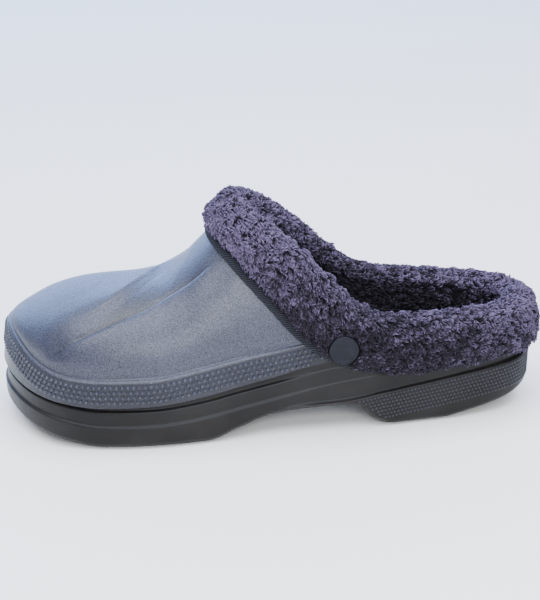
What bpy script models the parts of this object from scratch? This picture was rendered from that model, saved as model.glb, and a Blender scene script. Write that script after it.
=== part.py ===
"""Fleece-lined clog slipper, left shoe, modelled at real size.

The moulded body (upper and sole in one piece) is a closed grid of ribs and
rings: a rib stands on each point of the plan outline, and the rings climb it
from the tread, over the steps of the side, across the upper and back down the
inside to the footbed. The fleece cuff, its binding and the rivets are then
built on that body's own skin.

Metres, +Z up, toe towards -X, outer side of the foot towards -Y.
"""

import math
from typing import NamedTuple

import bmesh
import bpy
import numpy as np
from mathutils import Matrix, Vector
from mathutils.bvhtree import BVHTree

# Driving sizes
LENGTH = 0.285            # sole, toe to heel
BALL_WIDTH = 0.110        # unit of the plan outline's shares across
SIDE_HEIGHT = 0.040       # unit of the sole's heights
INSTEP_HEIGHT = 0.1115    # top of the upper at the throat
THROAT = 0.445            # front of the opening, share of LENGTH
TOE_CENTRE = 0.30         # ribs fan round this point in front, share of LENGTH
HEEL_CENTRE = 0.86        # and round this one behind

WALL = 0.0035             # moulded foam of the upper
TOE_LEAN = 0.0030         # the band leans back this far round the toe
TOE_LEAN_END = 0.14       # share of LENGTH
RIM_OUTER = 0.0046        # outline to the smooth rim round the tread
RIM_WIDTH = 0.0044        # and the rim's own width
RIM_CORNER = 0.0012       # rim to the recess between the lugs
TREAD_DEPTH = 0.003       # lugs stand this deep in the sole
ARCH_DEPTH = 0.1          # share of that depth left under the arch
STEP_ROUND = 0.0009       # height of each small round on the side
RIM_GAP = 0.0014          # cuff over the collar's edge
FIT_GAP = 0.0007          # cuff, binding and insole to the body

# Along the sole, shares of LENGTH
FADE_START = 0.50         # the fore insets turn into the rear ones here
FADE_END = 0.60
ARCH_START = 0.44         # no lugs between these
ARCH_RISE = 0.04
ARCH_END = 0.70
ARCH_FALL = 0.03
END_MARGIN = 0.03         # lugs are measured against the outline inside this

# Ribs of the body, counted over one side of the shoe
TOE_RIBS = 11
VAMP_RIBS = 7
OPEN_RIBS = 19
HEEL_RIBS = 8
DOME_ANGLES = (9, 19, 30, 41, 52, 62, 72, 81, 90)
INSIDE_STEPS = (8, 6, 4, 2, 0)      # dome rings that the inside repeats

# Tread
LUG_PITCH_ALONG = 0.0150
LUG_PITCH_ACROSS = 0.0145
LUG_GROOVE = 0.0030
LUG_SLANT = 0.55          # chevron, rise along for each step across
LUG_DRAFT = 0.93          # size of a lug's sole side to its root
LUG_LEAST = 3.5e-5        # smaller clippings are left off, square metres
LUG_BED = 0.0008          # root sunk into the sole
LUG_FRINGE = 0.0030       # from the rim to the first lug
LUG_CORNER = 0.0006       # corners closer than this are one

# Fleece cuff
PILE_OUTER = 0.0080
PILE_TOP = 0.0080
PILE_INNER = 0.0060
INNER_LEG = 0.021
INNER_LEG_REST = 0.0060   # from the insole's middle up to the inner leg
FLAP_WIDTH = 0.020        # unit of the flap's fall over the body
CUFF_STATIONS = 64
TUFT_DEPTH = 0.0011
FLAP_ROUND = 0.0008       # the pile's edges bulge this far past their ends
LEG_ROUND = 0.0020
SKIN_STEP = 0.0015        # stride down the body's skin

# Binding tape along the cuff's lower edge
TAPE_WIDTH = 0.0046
TAPE_THICK = 0.0015
TAPE_GAP = 0.0008         # to the flap
TAPE_LIFT = 0.0011        # over the body, enough to ride the band's end

# Rivets through cuff and body
RIVET_ALONG = 0.632       # share of LENGTH
RIVET_UP = 0.417          # share of INSTEP_HEIGHT
RIVET_HEAD_RADIUS = 0.0079
RIVET_HEAD_THICK = 0.0026
RIVET_EDGE = 0.0008       # rounding of the head
RIVET_POST_RADIUS = 0.0028
RIVET_FLANGE_RADIUS = 0.0058
RIVET_FLANGE_THICK = 0.0011
RIVET_SEAT = 0.0042       # pressed fleece under the head
RIVET_PRESS = 0.011       # reach of the dent that the head presses
RIVET_CLEAR = 0.0003
RIVET_SEGMENTS = 20

# Insole
INSOLE_THICK = 0.005
INSOLE_SHARES = (0.0, 0.6)          # rings from its middle to its rim


class Corner(NamedTuple):
    """Ring of a rounded corner: inset and lift over the footbed, metres."""

    inset: float
    lift: float


CUP = (
    Corner(0.0, 0.0095),
    Corner(0.0022, 0.0038),
    Corner(0.0075, 0.0008),
)
INSOLE_RIM = (
    Corner(0.0078, 0.0015),
    Corner(0.0050, 0.0036),
    Corner(0.0050, 0.0058),
    Corner(0.0064, 0.0072),
)


class Plan(NamedTuple):
    """Outline pair: share of LENGTH along, shares of BALL_WIDTH across."""

    along: float
    outer: float
    inner: float


TOE_TIP = 0.145
HEEL_TIP = -0.020
PLAN = (
    Plan(0.030, -0.170, 0.345),
    Plan(0.100, -0.385, 0.450),
    Plan(0.200, -0.469, 0.487),
    Plan(0.320, -0.477, 0.484),
    Plan(0.440, -0.434, 0.443),
    Plan(0.560, -0.395, 0.385),
    Plan(0.680, -0.381, 0.352),
    Plan(0.800, -0.343, 0.345),
    Plan(0.920, -0.285, 0.275),
    Plan(0.975, -0.200, 0.170),
)


class Side(NamedTuple):
    """Heights up the sole's side, shares of SIDE_HEIGHT."""

    along: float
    tread: float
    heel_band: float
    lower_step: float
    upper_step: float
    band_foot: float
    band_top: float
    footbed: float


SIDES = (
    Side(0.00, 0.240, 0.325, 0.510, 0.690, 0.790, 1.300, 0.650),
    Side(0.06, 0.140, 0.240, 0.445, 0.630, 0.690, 1.080, 0.580),
    Side(0.12, 0.065, 0.165, 0.375, 0.565, 0.625, 0.975, 0.525),
    Side(0.19, 0.000, 0.092, 0.310, 0.508, 0.583, 0.935, 0.470),
    Side(0.28, 0.000, 0.092, 0.300, 0.502, 0.590, 0.935, 0.450),
    Side(0.38, 0.000, 0.096, 0.360, 0.562, 0.667, 1.030, 0.465),
    Side(0.44, 0.135, 0.222, 0.432, 0.635, 0.747, 1.100, 0.520),
    Side(0.50, 0.265, 0.352, 0.500, 0.705, 0.822, 1.160, 0.600),
    Side(0.56, 0.305, 0.390, 0.575, 0.782, 0.897, 1.205, 0.660),
    Side(0.62, 0.315, 0.402, 0.650, 0.857, 0.965, 1.235, 0.695),
    Side(0.66, 0.290, 0.430, 0.690, 0.870, 0.975, 1.190, 0.700),
    Side(0.70, 0.060, 0.482, 0.715, 0.875, 0.975, 1.125, 0.700),
    Side(0.73, 0.000, 0.510, 0.730, 0.880, 0.977, 1.100, 0.695),
    Side(0.82, 0.000, 0.592, 0.780, 0.900, 0.990, 1.085, 0.685),
    Side(0.88, 0.070, 0.650, 0.812, 0.912, 1.000, 1.087, 0.680),
    Side(0.94, 0.150, 0.695, 0.840, 0.930, 1.015, 1.100, 0.690),
    Side(1.00, 0.250, 0.735, 0.870, 0.950, 1.030, 1.112, 0.710),
)


class Crown(NamedTuple):
    """Middle line of the upper: share of INSTEP_HEIGHT and roundness."""

    along: float
    height: float
    across: float
    upward: float


CROWNS = (
    Crown(0.00, 0.520, 2.40, 2.30),
    Crown(0.05, 0.590, 2.40, 2.30),
    Crown(0.10, 0.640, 2.40, 2.30),
    Crown(0.16, 0.663, 2.40, 2.25),
    Crown(0.24, 0.670, 2.35, 2.20),
    Crown(0.30, 0.693, 2.25, 2.10),
    Crown(0.345, 0.755, 2.15, 1.98),
    Crown(0.385, 0.848, 2.05, 1.85),
    Crown(0.42, 0.938, 1.92, 1.72),
    Crown(0.445, 1.000, 1.85, 1.65),
    Crown(0.50, 1.076, 1.75, 1.55),
    Crown(0.60, 1.110, 1.80, 1.60),
    Crown(0.70, 1.110, 1.90, 1.70),
    Crown(1.00, 1.110, 1.90, 1.70),
)


class Collar(NamedTuple):
    """Edge of the opening, shares of INSTEP_HEIGHT, and the cuff's widths.

    flap and tape are shares of FLAP_WIDTH and TAPE_WIDTH.
    """

    along: float
    outer: float
    inner: float
    flap: float
    tape: float


COLLARS = (
    Collar(0.445, 1.000, 1.000, 0.64, 1.00),
    Collar(0.470, 0.962, 0.962, 0.73, 1.00),
    Collar(0.500, 0.910, 0.910, 0.85, 1.00),
    Collar(0.530, 0.845, 0.848, 0.91, 1.00),
    Collar(0.575, 0.733, 0.742, 0.96, 1.00),
    Collar(0.600, 0.665, 0.680, 0.99, 1.00),
    Collar(0.637, 0.572, 0.596, 1.02, 0.80),
    Collar(0.673, 0.507, 0.535, 1.00, 0.50),
    Collar(0.700, 0.482, 0.510, 1.00, 0.38),
    Collar(0.740, 0.466, 0.492, 0.99, 0.34),
    Collar(0.800, 0.458, 0.478, 0.98, 0.34),
    Collar(0.880, 0.458, 0.466, 0.93, 0.34),
    Collar(0.940, 0.462, 0.464, 0.86, 0.34),
    Collar(1.000, 0.466, 0.466, 0.80, 0.34),
)


class Ring(NamedTuple):
    """A ring of the side: its level, its lift over it, its inset in metres."""

    level: str
    lift: float
    fore: float
    rear: float


SIDE_RINGS = (
    Ring("tread", 0.0, RIM_OUTER + RIM_WIDTH, RIM_OUTER + RIM_WIDTH),
    Ring("tread", 0.0, RIM_OUTER, RIM_OUTER),
    Ring("tread", 0.0010, 0.0020, 0.0014),
    Ring("tread", 0.0029, 0.0005, -0.0004),
    Ring("heel_band", 0.0, 0.0002, -0.0010),
    Ring("heel_band", STEP_ROUND, 0.0002, 0.0012),
    Ring("lower_step", 0.0, 0.0001, 0.0014),
    Ring("lower_step", STEP_ROUND, 0.0014, 0.0019),
    Ring("upper_step", 0.0, 0.0015, 0.0021),
    Ring("upper_step", STEP_ROUND, 0.0034, 0.0026),
    Ring("band_foot", -STEP_ROUND * 0.6, 0.0034, 0.0027),
    Ring("band_foot", 0.0, 0.0002, 0.0028),
    Ring("band_top", 0.0, 0.0008, 0.0031),
    Ring("band_top", STEP_ROUND * 0.6, 0.0015, 0.0033),
    Ring("band_top", STEP_ROUND, 0.0032, 0.0036),
)


def smooth_step(low, high, value):
    """Ease from 0 at low to 1 at high."""
    t = np.clip((np.asarray(value, float) - low) / (high - low), 0.0, 1.0)
    return t * t * (3.0 - 2.0 * t)


def blend(table, column, along):
    """Monotone cubic through one column of a table."""
    x = np.array([row.along for row in table])
    y = np.array([getattr(row, column) for row in table])
    h = np.diff(x)
    slope = np.diff(y) / h
    grade = np.zeros_like(y)
    grade[0] = slope[0]
    grade[-1] = slope[-1]
    same = slope[:-1] * slope[1:] > 0
    w1 = 2 * h[1:] + h[:-1]
    w2 = h[1:] + 2 * h[:-1]
    inner = np.zeros(len(slope) - 1)
    inner[same] = (w1 + w2)[same] / (w1[same] / slope[:-1][same] + w2[same] / slope[1:][same])
    grade[1:-1] = inner
    at = np.clip(np.asarray(along, float), x[0], x[-1])
    k = np.clip(np.searchsorted(x, at, side="right") - 1, 0, len(h) - 1)
    t = (at - x[k]) / h[k]
    low = (1 + 2 * t) * (1 - t) ** 2 * y[k] + t * (1 - t) ** 2 * h[k] * grade[k]
    high = t * t * (3 - 2 * t) * y[k + 1] + t * t * (t - 1) * h[k] * grade[k + 1]
    return low + high


def closed_spline(points, steps):
    """Periodic cubic through the points, steps samples a span."""
    points = np.asarray(points, float)
    span = np.linalg.norm(np.roll(points, -1, 0) - points, axis=1) ** 0.75
    count = len(points)
    system = np.zeros((count, count))
    right = np.zeros((count, 2))
    for i in range(count):
        before = span[i - 1]
        after = span[i]
        system[i, i - 1] = before
        system[i, i] = 2 * (before + after)
        system[i, (i + 1) % count] = after
        ahead = (points[(i + 1) % count] - points[i]) / after
        behind = (points[i] - points[i - 1]) / before
        right[i] = 6 * (ahead - behind)
    bend = np.linalg.solve(system, right)
    curve = []
    for i in range(count):
        nxt = (i + 1) % count
        h = span[i]
        for t in np.linspace(0, 1, steps, endpoint=False):
            a = 1 - t
            base = a * points[i] + t * points[nxt]
            curve.append(base + ((a ** 3 - a) * bend[i] + (t ** 3 - t) * bend[nxt]) * h * h / 6)
    return np.array(curve)


class Outline:
    """The plan outline, its inward normals and its middle line."""

    def __init__(self):
        """Draw the periodic outline through the plan table."""
        pairs = [(0.0, TOE_TIP)]
        pairs += [(row.along, row.outer) for row in PLAN]
        pairs += [(1.0, HEEL_TIP)]
        pairs += [(row.along, row.inner) for row in reversed(PLAN)]
        self.curve = closed_spline(np.array(pairs) * (LENGTH, BALL_WIDTH), 24)
        way = np.roll(self.curve, -1, 0) - np.roll(self.curve, 1, 0)
        way /= np.linalg.norm(way, axis=1)[:, None]
        self.inward = np.stack((-way[:, 1], way[:, 0]), axis=1)
        self.tip = int(np.argmin(self.curve[:, 0]))
        self.back = int(np.argmax(self.curve[:, 0]))

    def side(self, outer):
        """Index range of one side, toe to heel."""
        count = len(self.curve)
        if outer:
            return [(self.tip + k) % count for k in range((self.back - self.tip) % count + 1)]
        return [(self.tip - k) % count for k in range((self.tip - self.back) % count + 1)]

    def at_along(self, along, outer):
        """Point and inward normal of one side at a share of LENGTH."""
        index = self.side(outer)
        x = self.curve[index, 0]
        where = np.interp(along * LENGTH, x, np.arange(len(index)))
        return self._between(index, where)

    def at_angle(self, centre, angle, outer):
        """Point and inward normal where a ray from the centre leaves."""
        off = self.curve - centre
        sign = -1.0 if outer else 1.0
        turn = np.mod(np.arctan2(sign * off[:, 1], -off[:, 0]) + 0.5, 2 * math.pi) - 0.5
        order = np.argsort(turn)
        where = np.interp(angle, turn[order], np.arange(len(order)))
        return self._between(order, where)

    def _between(self, index, where):
        low = int(min(where, len(index) - 2))
        t = where - low
        a = index[low]
        b = index[low + 1]
        point = self.curve[a] * (1 - t) + self.curve[b] * t
        inward = self.inward[a] * (1 - t) + self.inward[b] * t
        return point, inward / np.linalg.norm(inward)

    def middle(self, along):
        """Middle line's place across at a share of LENGTH."""
        outer = self.at_along(along, True)[0]
        inner = self.at_along(along, False)[0]
        return 0.5 * (outer[1] + inner[1])


class Ribs:
    """Foot, inward normal and spine point of every rib, round the shoe."""

    def __init__(self, outline):
        """Lay out the ribs: fan, cross ribs, fan, and back."""
        self.outline = outline
        toe = np.array((TOE_CENTRE * LENGTH, outline.middle(TOE_CENTRE)))
        heel = np.array((HEEL_CENTRE * LENGTH, outline.middle(HEEL_CENTRE)))
        vamp = np.linspace(TOE_CENTRE, THROAT, VAMP_RIBS)
        rise = np.linspace(0, 1, OPEN_RIBS) ** 1.5
        cross = np.concatenate((vamp, THROAT + (HEEL_CENTRE - THROAT) * rise[1:]))
        outer = []
        inner = []
        for side, bag in ((True, outer), (False, inner)):
            for angle in np.linspace(0, math.pi / 2, TOE_RIBS, endpoint=False):
                bag.append((*outline.at_angle(toe, angle, side), toe))
            for along in cross:
                spine = np.array((along * LENGTH, outline.middle(along)))
                bag.append((*outline.at_along(along, side), spine))
            for angle in np.linspace(math.pi / 2, math.pi, HEEL_RIBS + 1)[1:]:
                bag.append((*outline.at_angle(heel, angle, side), heel))
        rows = outer + inner[-2:0:-1]
        self.foot = np.array([row[0] for row in rows])
        self.inward = np.array([row[1] for row in rows])
        self.spine = np.array([row[2] for row in rows])
        self.count = len(rows)
        self.along = np.clip(self.foot[:, 0] / LENGTH, 0, 1)
        reach = self.spine[:, 0] / LENGTH
        self.open = reach > THROAT + 1e-6

    def inset(self, distance):
        """Plan points moved inwards from the outline."""
        return self.foot + self.inward * np.reshape(distance, (-1, 1))

    def raised(self, plan, height):
        """Plan points with a height each."""
        height = np.broadcast_to(height, (self.count,))
        return np.column_stack((plan, height))


def side_height(column, along):
    """Height of one line of the sole's side."""
    return blend(SIDES, column, along) * SIDE_HEIGHT


def tread_recess(along):
    """Depth of the tread's field, nearly none under the arch."""
    arch = smooth_step(ARCH_START, ARCH_START + ARCH_RISE, along)
    arch = arch * (1 - smooth_step(ARCH_END - ARCH_FALL, ARCH_END, along))
    return TREAD_DEPTH * (1 - (1 - ARCH_DEPTH) * arch)


def tread_floor(along):
    """Height of the sole between the lugs."""
    return side_height("tread", along) + tread_recess(along)


def bed_floor(along):
    """Height of the footbed."""
    return side_height("footbed", along)


def spread(ribs, plan, shares, floor, lift=0.0):
    """Rings that spread from the middle line out to a plan ring."""
    rings = []
    for share in shares:
        spot = ribs.spine + (plan - ribs.spine) * share
        along = np.clip(spot[:, 0] / LENGTH, 0, 1)
        rings.append(ribs.raised(spot, floor(along) + lift))
    return rings


def side_rings(ribs):
    """Rings from the tread's middle up to the foot of the upper."""
    fade = smooth_step(FADE_START, FADE_END, ribs.along)
    field = ribs.inset(RIM_OUTER + RIM_WIDTH + RIM_CORNER)
    rings = spread(ribs, field, (0.0, 0.5, 1.0), tread_floor)
    for ring in SIDE_RINGS:
        inset = ring.fore + (ring.rear - ring.fore) * fade
        if ring.level == "band_top":
            inset = inset + TOE_LEAN * (1 - smooth_step(0.0, TOE_LEAN_END, ribs.along))
        plan = ribs.inset(inset)
        level = ribs.along
        if ring.level == "tread":
            level = np.clip(plan[:, 0] / LENGTH, 0, 1)
        rings.append(ribs.raised(plan, side_height(ring.level, level) + ring.lift))
    return rings


def dome_rings(ribs, foot):
    """Rings of the upper's skin, from its foot to the crown or collar."""
    base = foot[:, :2]
    rings = []
    ends = np.empty(ribs.count)
    low = foot[:, 2]
    spine_along = ribs.spine[:, 0] / LENGTH
    for i in range(ribs.count):
        ends[i] = math.pi / 2
        if ribs.open[i]:
            ends[i] = collar_angle(ribs, base, low, i)
    for angle in DOME_ANGLES:
        turn = ends * angle / 90.0
        along = spine_along
        for _ in range(4):
            power = blend(CROWNS, "across", along)
            share = np.cos(turn) ** (2 / power)
            plan = ribs.spine + (base - ribs.spine) * share[:, None]
            along = np.clip(plan[:, 0] / LENGTH, 0, 1)
        upward = blend(CROWNS, "upward", along)
        top = blend(CROWNS, "height", along) * INSTEP_HEIGHT
        rings.append(ribs.raised(plan, low + (top - low) * np.sin(turn) ** (2 / upward)))
    return rings


def collar_angle(ribs, base, low, i):
    """Angle up rib i where the collar's cut crosses the upper."""
    side = "outer" if i <= ribs.count // 2 else "inner"
    lo = 0.0
    hi = math.pi / 2
    for _ in range(30):
        mid = 0.5 * (lo + hi)
        along = ribs.spine[i, 0] / LENGTH
        power = float(blend(CROWNS, "across", along))
        share = math.cos(mid) ** (2 / power)
        x = ribs.spine[i, 0] + (base[i, 0] - ribs.spine[i, 0]) * share
        along = min(max(x / LENGTH, 0.0), 1.0)
        upward = float(blend(CROWNS, "upward", along))
        top = float(blend(CROWNS, "height", along)) * INSTEP_HEIGHT
        height = low[i] + (top - low[i]) * math.sin(mid) ** (2 / upward)
        cut = float(blend(COLLARS, side, along)) * INSTEP_HEIGHT
        if height < cut:
            lo = mid
        else:
            hi = mid
    return lo


def grid_normals(rings, ribs):
    """Outward normals of a stack of rings."""
    grid = np.array(rings)
    up = np.gradient(grid, axis=0)
    round_way = np.roll(grid, -1, 1) - np.roll(grid, 1, 1)
    normal = np.cross(round_way, up)
    size = np.linalg.norm(normal, axis=2, keepdims=True)
    normal = normal / np.maximum(size, 1e-12)
    closed = ~ribs.open
    along = ribs.spine[closed, 0] / LENGTH
    slope = blend(CROWNS, "height", along + 0.005) - blend(CROWNS, "height", along - 0.005)
    slope = slope * INSTEP_HEIGHT / (0.01 * LENGTH)
    crown = np.column_stack((-slope, np.zeros_like(slope), np.ones_like(slope)))
    normal[-1, closed] = crown / np.linalg.norm(crown, axis=1)[:, None]
    return normal


def inner_rings(ribs, dome, normal):
    """Rings of the inside, from the collar down to the footbed's middle."""
    rings = []
    for k in INSIDE_STEPS:
        rings.append(dome[k] - normal[k] * WALL)
    wall = rings[-1]
    plan = wall[:, :2]
    inward = ribs.inward
    bed = bed_floor(np.clip(plan[:, 0] / LENGTH, 0, 1))
    for corner in CUP:
        rings.append(ribs.raised(plan + inward * corner.inset, bed + corner.lift))
    rings += spread(ribs, plan + inward * CUP[-1].inset, INSOLE_SHARES[::-1], bed_floor)
    return rings


def mesh_object(name, collection, bm, material):
    """Close a bmesh into a named object with its own material."""
    bmesh.ops.recalc_face_normals(bm, faces=bm.faces)
    for face in bm.faces:
        face.smooth = True
    mesh = bpy.data.meshes.new(name)
    bm.to_mesh(mesh)
    bm.free()
    mesh.materials.append(material)
    obj = bpy.data.objects.new(name, mesh)
    collection.objects.link(obj)
    return obj


def split_quad(a, b, c, d, places):
    """Two triangles of a quad, cut along its shorter diagonal."""
    long_ac = np.linalg.norm(np.subtract(places[0], places[2]))
    long_bd = np.linalg.norm(np.subtract(places[1], places[3]))
    if long_ac <= long_bd:
        return (a, b, c), (a, c, d)
    return (a, b, d), (b, c, d)


def bridge(bm, rows, keep=None, closed_stack=False):
    """Triangles between rings of vertices, each ring closed on itself."""
    pairs = list(zip(rows[:-1], rows[1:]))
    if closed_stack:
        pairs.append((rows[-1], rows[0]))
    for level, (low, high) in enumerate(pairs):
        for i in range(len(low)):
            j = (i + 1) % len(low)
            if keep is None or keep(level, i, j):
                quad = (low[i], low[j], high[j], high[i])
                for triangle in split_quad(*quad, [tuple(v.co) for v in quad]):
                    bm.faces.new(triangle)


def build_body(ribs, collection, material):
    """Moulded body: sole and upper in one closed skin."""
    side = side_rings(ribs)
    dome = dome_rings(ribs, side[-1])
    normal = grid_normals(dome, ribs)
    inner = inner_rings(ribs, dome, normal)
    rings = side + dome + inner
    collar_level = len(side) + len(dome) - 1
    bm = bmesh.new()
    rows = [[bm.verts.new(p) for p in ring] for ring in rings]

    def keep(level, i, j):
        return level != collar_level or ribs.open[i] or ribs.open[j]

    bridge(bm, rows, keep)
    bmesh.ops.remove_doubles(bm, verts=bm.verts, dist=1e-6)
    body = mesh_object("clog_body", collection, bm, material)
    return body, side, dome, inner


def clip_polygon(polygon, edge_point, edge_inward):
    """Part of a polygon on the inward side of a line."""
    result = []
    for k, here in enumerate(polygon):
        there = polygon[(k + 1) % len(polygon)]
        a = float(np.dot(here - edge_point, edge_inward))
        b = float(np.dot(there - edge_point, edge_inward))
        if a >= 0:
            result.append(here)
        if a * b < 0:
            result.append(here + (there - here) * (a / (a - b)))
    return result


def polygon_area(polygon):
    """Signed area of a plan polygon."""
    pts = np.array(polygon)
    x = pts[:, 0]
    y = pts[:, 1]
    return 0.5 * float(np.sum(x * np.roll(y, -1) - y * np.roll(x, -1)))


class Field(NamedTuple):
    """A stretch of the sole that carries lugs, shares of LENGTH."""

    start: float
    end: float


FIELDS = (Field(0.055, 0.430), Field(0.722, 0.955))


def beyond_outline(outline, point):
    """Whether a plan point lies well outside the outline."""
    share = min(max(point[0] / LENGTH, END_MARGIN), 1 - END_MARGIN)
    low = outline.at_along(share, True)[0][1] - LUG_PITCH_ACROSS
    high = outline.at_along(share, False)[0][1] + LUG_PITCH_ACROSS
    return not low < point[1] < high


def lug_cells(outline, field):
    """Plan polygons of one field's lugs, in chevrons about the middle."""
    fringe = RIM_OUTER + RIM_WIDTH + LUG_FRINGE
    cells = []
    rows = int(math.ceil((field.end - field.start) * LENGTH / LUG_PITCH_ALONG)) + 4
    lanes = int(math.ceil(0.5 * BALL_WIDTH / LUG_PITCH_ACROSS)) + 1
    stride = 9
    edges = list(range(0, len(outline.curve), stride))
    for outward in (-1.0, 1.0):
        for lane in range(lanes):
            near = lane * LUG_PITCH_ACROSS + 0.5 * LUG_GROOVE
            far = (lane + 1) * LUG_PITCH_ACROSS - 0.5 * LUG_GROOVE
            for row in range(-2, rows):
                start = field.start * LENGTH + row * LUG_PITCH_ALONG
                end = start + LUG_PITCH_ALONG - LUG_GROOVE
                cell = []
                for x, u in ((start, near), (end, near), (end, far), (start, far)):
                    share = min(max(x / LENGTH, END_MARGIN), 1 - END_MARGIN)
                    y = outline.middle(share) + outward * u
                    cell.append(np.array((x - LUG_SLANT * u, y)))
                if beyond_outline(outline, np.mean(cell, axis=0)):
                    continue
                cell = clip_polygon(cell, np.array((field.start * LENGTH, 0)), np.array((1.0, 0.0)))
                if len(cell) > 2:
                    cell = clip_polygon(cell, np.array((field.end * LENGTH, 0)), np.array((-1.0, 0.0)))
                for k in edges:
                    if len(cell) < 3:
                        break
                    point = outline.curve[k] + outline.inward[k] * fringe
                    centre = np.mean(cell, axis=0)
                    if np.linalg.norm(centre - point) < 3 * LUG_PITCH_ALONG:
                        cell = clip_polygon(cell, point, outline.inward[k])
                if len(cell) > 2 and abs(polygon_area(cell)) > LUG_LEAST:
                    cells.append(tidy_polygon(cell))
    return cells


def tidy_polygon(polygon):
    """Drop corners that are too close, run counter-clockwise."""
    result = []
    for point in polygon:
        if not result or np.linalg.norm(point - result[-1]) > LUG_CORNER:
            result.append(point)
    if np.linalg.norm(result[0] - result[-1]) < LUG_CORNER:
        result.pop()
    if polygon_area(result) < 0:
        result.reverse()
    return result


def build_lugs(outline, collection):
    """All lugs as one cutter object of separate prisms."""
    bm = bmesh.new()
    for field in FIELDS:
        for cell in lug_cells(outline, field):
            centre = np.mean(cell, axis=0)
            foot = []
            root = []
            for point in cell:
                tip = centre + (point - centre) * LUG_DRAFT
                low = float(side_height("tread", min(max(tip[0] / LENGTH, 0), 1)))
                here = min(max(point[0] / LENGTH, 0), 1)
                high = float(side_height("tread", here) + tread_recess(here)) + LUG_BED
                foot.append(bm.verts.new((*tip, low)))
                root.append(bm.verts.new((*point, high)))
            bm.faces.new(list(reversed(foot)))
            bm.faces.new(root)
            count = len(cell)
            for k in range(count):
                j = (k + 1) % count
                bm.faces.new((foot[k], foot[j], root[j], root[k]))
    bmesh.ops.triangulate(bm, faces=bm.faces)
    mesh = bpy.data.meshes.new("tread_lugs")
    bm.to_mesh(mesh)
    bm.free()
    obj = bpy.data.objects.new("tread_lugs", mesh)
    collection.objects.link(obj)
    return obj


def add_boolean(target, cutter, operation):
    """Exact boolean with a hidden cutter."""
    modifier = target.modifiers.new(cutter.name, "BOOLEAN")
    modifier.operation = operation
    modifier.solver = "EXACT"
    modifier.object = cutter
    cutter.hide_render = True
    cutter.display_type = "WIRE"


def tree_of(rings):
    """Search tree over the faces between rings."""
    points = [tuple(p) for ring in rings for p in ring]
    count = len(rings[0])
    faces = []
    for level in range(len(rings) - 1):
        for i in range(count):
            j = (i + 1) % count
            a = level * count
            b = a + count
            quad = (a + i, a + j, b + j, b + i)
            faces += split_quad(*quad, [points[k] for k in quad])
    return BVHTree.FromPolygons(points, faces)


def even_loop(points, count):
    """Shares round a closed loop that space its points evenly."""
    gaps = np.linalg.norm(np.roll(points, -1, 0) - points, axis=1)
    run = np.concatenate(((0,), np.cumsum(gaps)))
    want = np.linspace(0, run[-1], count, endpoint=False)
    return np.interp(want, run, np.arange(len(points) + 1))


def sample_loop(points, where):
    """Points of a closed loop at fractional indexes."""
    low = np.floor(where).astype(int)
    t = (where - low)[:, None]
    count = len(points)
    return points[low % count] * (1 - t) + points[(low + 1) % count] * t


def round_off(values, passes):
    """Average each value of a closed loop with its neighbours."""
    for _ in range(passes):
        values = (np.roll(values, 1, 0) + 2 * values + np.roll(values, -1, 0)) / 4
    return values


class Skin:
    """Runs down from the collar's edge on one face of the body."""

    def __init__(self, tree, edge, down, side):
        """Tree of the face, edge points, first direction and its sign."""
        self.tree = tree
        self.edge = edge
        self.down = down
        self.side = side

    def run(self, distances):
        """Points and outward normals at each distance from the edge."""
        steps = np.max(distances)
        count = int(math.ceil(steps / SKIN_STEP))
        places = [self.edge]
        normals = []
        point = self.edge.copy()
        way = self.down.copy()
        for k in range(count + 1):
            normal = np.empty_like(point)
            placed = np.empty_like(point)
            for i in range(len(point)):
                spot, face_normal, _, _ = self.tree.find_nearest(Vector(point[i]))
                placed[i] = spot
                normal[i] = np.array(face_normal) * self.side
            normal = round_off(normal, 3)
            normal /= np.linalg.norm(normal, axis=1)[:, None]
            if k:
                places.append(placed)
            normals.append(normal)
            flat = way - normal * np.sum(way * normal, axis=1)[:, None]
            way = flat / np.linalg.norm(flat, axis=1)[:, None]
            point = places[-1] + way * (steps / count)
        places = np.array(places)
        normals = np.array(normals)
        return self._pick(places, distances, count), self._pick(normals, distances, count)

    def _pick(self, stack, distances, count):
        """Interpolate a stack of steps at one distance a station."""
        where = distances / np.max(distances) * count
        low = np.clip(np.floor(where).astype(int), 0, count - 1)
        t = (where - low)[:, None]
        index = np.arange(stack.shape[1])
        return stack[low, index] * (1 - t) + stack[low + 1, index] * t


class Edge:
    """The collar's edge: stations, frames and both skins below them."""

    def __init__(self, ribs, side, dome, inner):
        """Find the open ribs' last ring and space stations along it."""
        count = ribs.count
        throat = TOE_RIBS + VAMP_RIBS - 1
        loop = list(range(throat, count - throat))
        outer = dome[-1][loop]
        inside = inner[0][loop]
        where = even_loop(outer, CUFF_STATIONS)
        self.outer = sample_loop(outer, where)
        self.inside = sample_loop(inside, where)
        run = np.roll(self.outer, -1, 0) - np.roll(self.outer, 1, 0)
        self.run = run / np.linalg.norm(run, axis=1)[:, None]
        below = sample_loop(dome[-2][loop], where)
        drop = below - self.outer
        drop[0] = (-1.0, 0.0, -1.0)
        drop = drop - self.run * np.sum(drop * self.run, axis=1)[:, None]
        down = drop / np.linalg.norm(drop, axis=1)[:, None]
        down = round_off(down, 2)
        down /= np.linalg.norm(down, axis=1)[:, None]
        self.up = -down
        self.along = self.outer[:, 0] / LENGTH
        self.outer_skin = Skin(tree_of(side[3:] + dome), self.outer, down, 1.0)
        self.inner_skin = Skin(tree_of(inner), self.inside, down, 1.0)


def build_loft(name, collection, sections, material):
    """Closed tube through sections that ring the collar."""
    bm = bmesh.new()
    rows = [[bm.verts.new(p) for p in row] for row in sections]
    bridge(bm, rows, closed_stack=True)
    return mesh_object(name, collection, bm, material)


def tufts(stations, row):
    """Lumps of the pile: a plain wave pattern, no two rows alike."""
    k = np.arange(stations)
    wave = np.sin(k * 2.31 + row * 1.7) + np.sin(k * 3.9 + row * 2.9 + 1.0)
    return 0.5 * TUFT_DEPTH * wave


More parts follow.
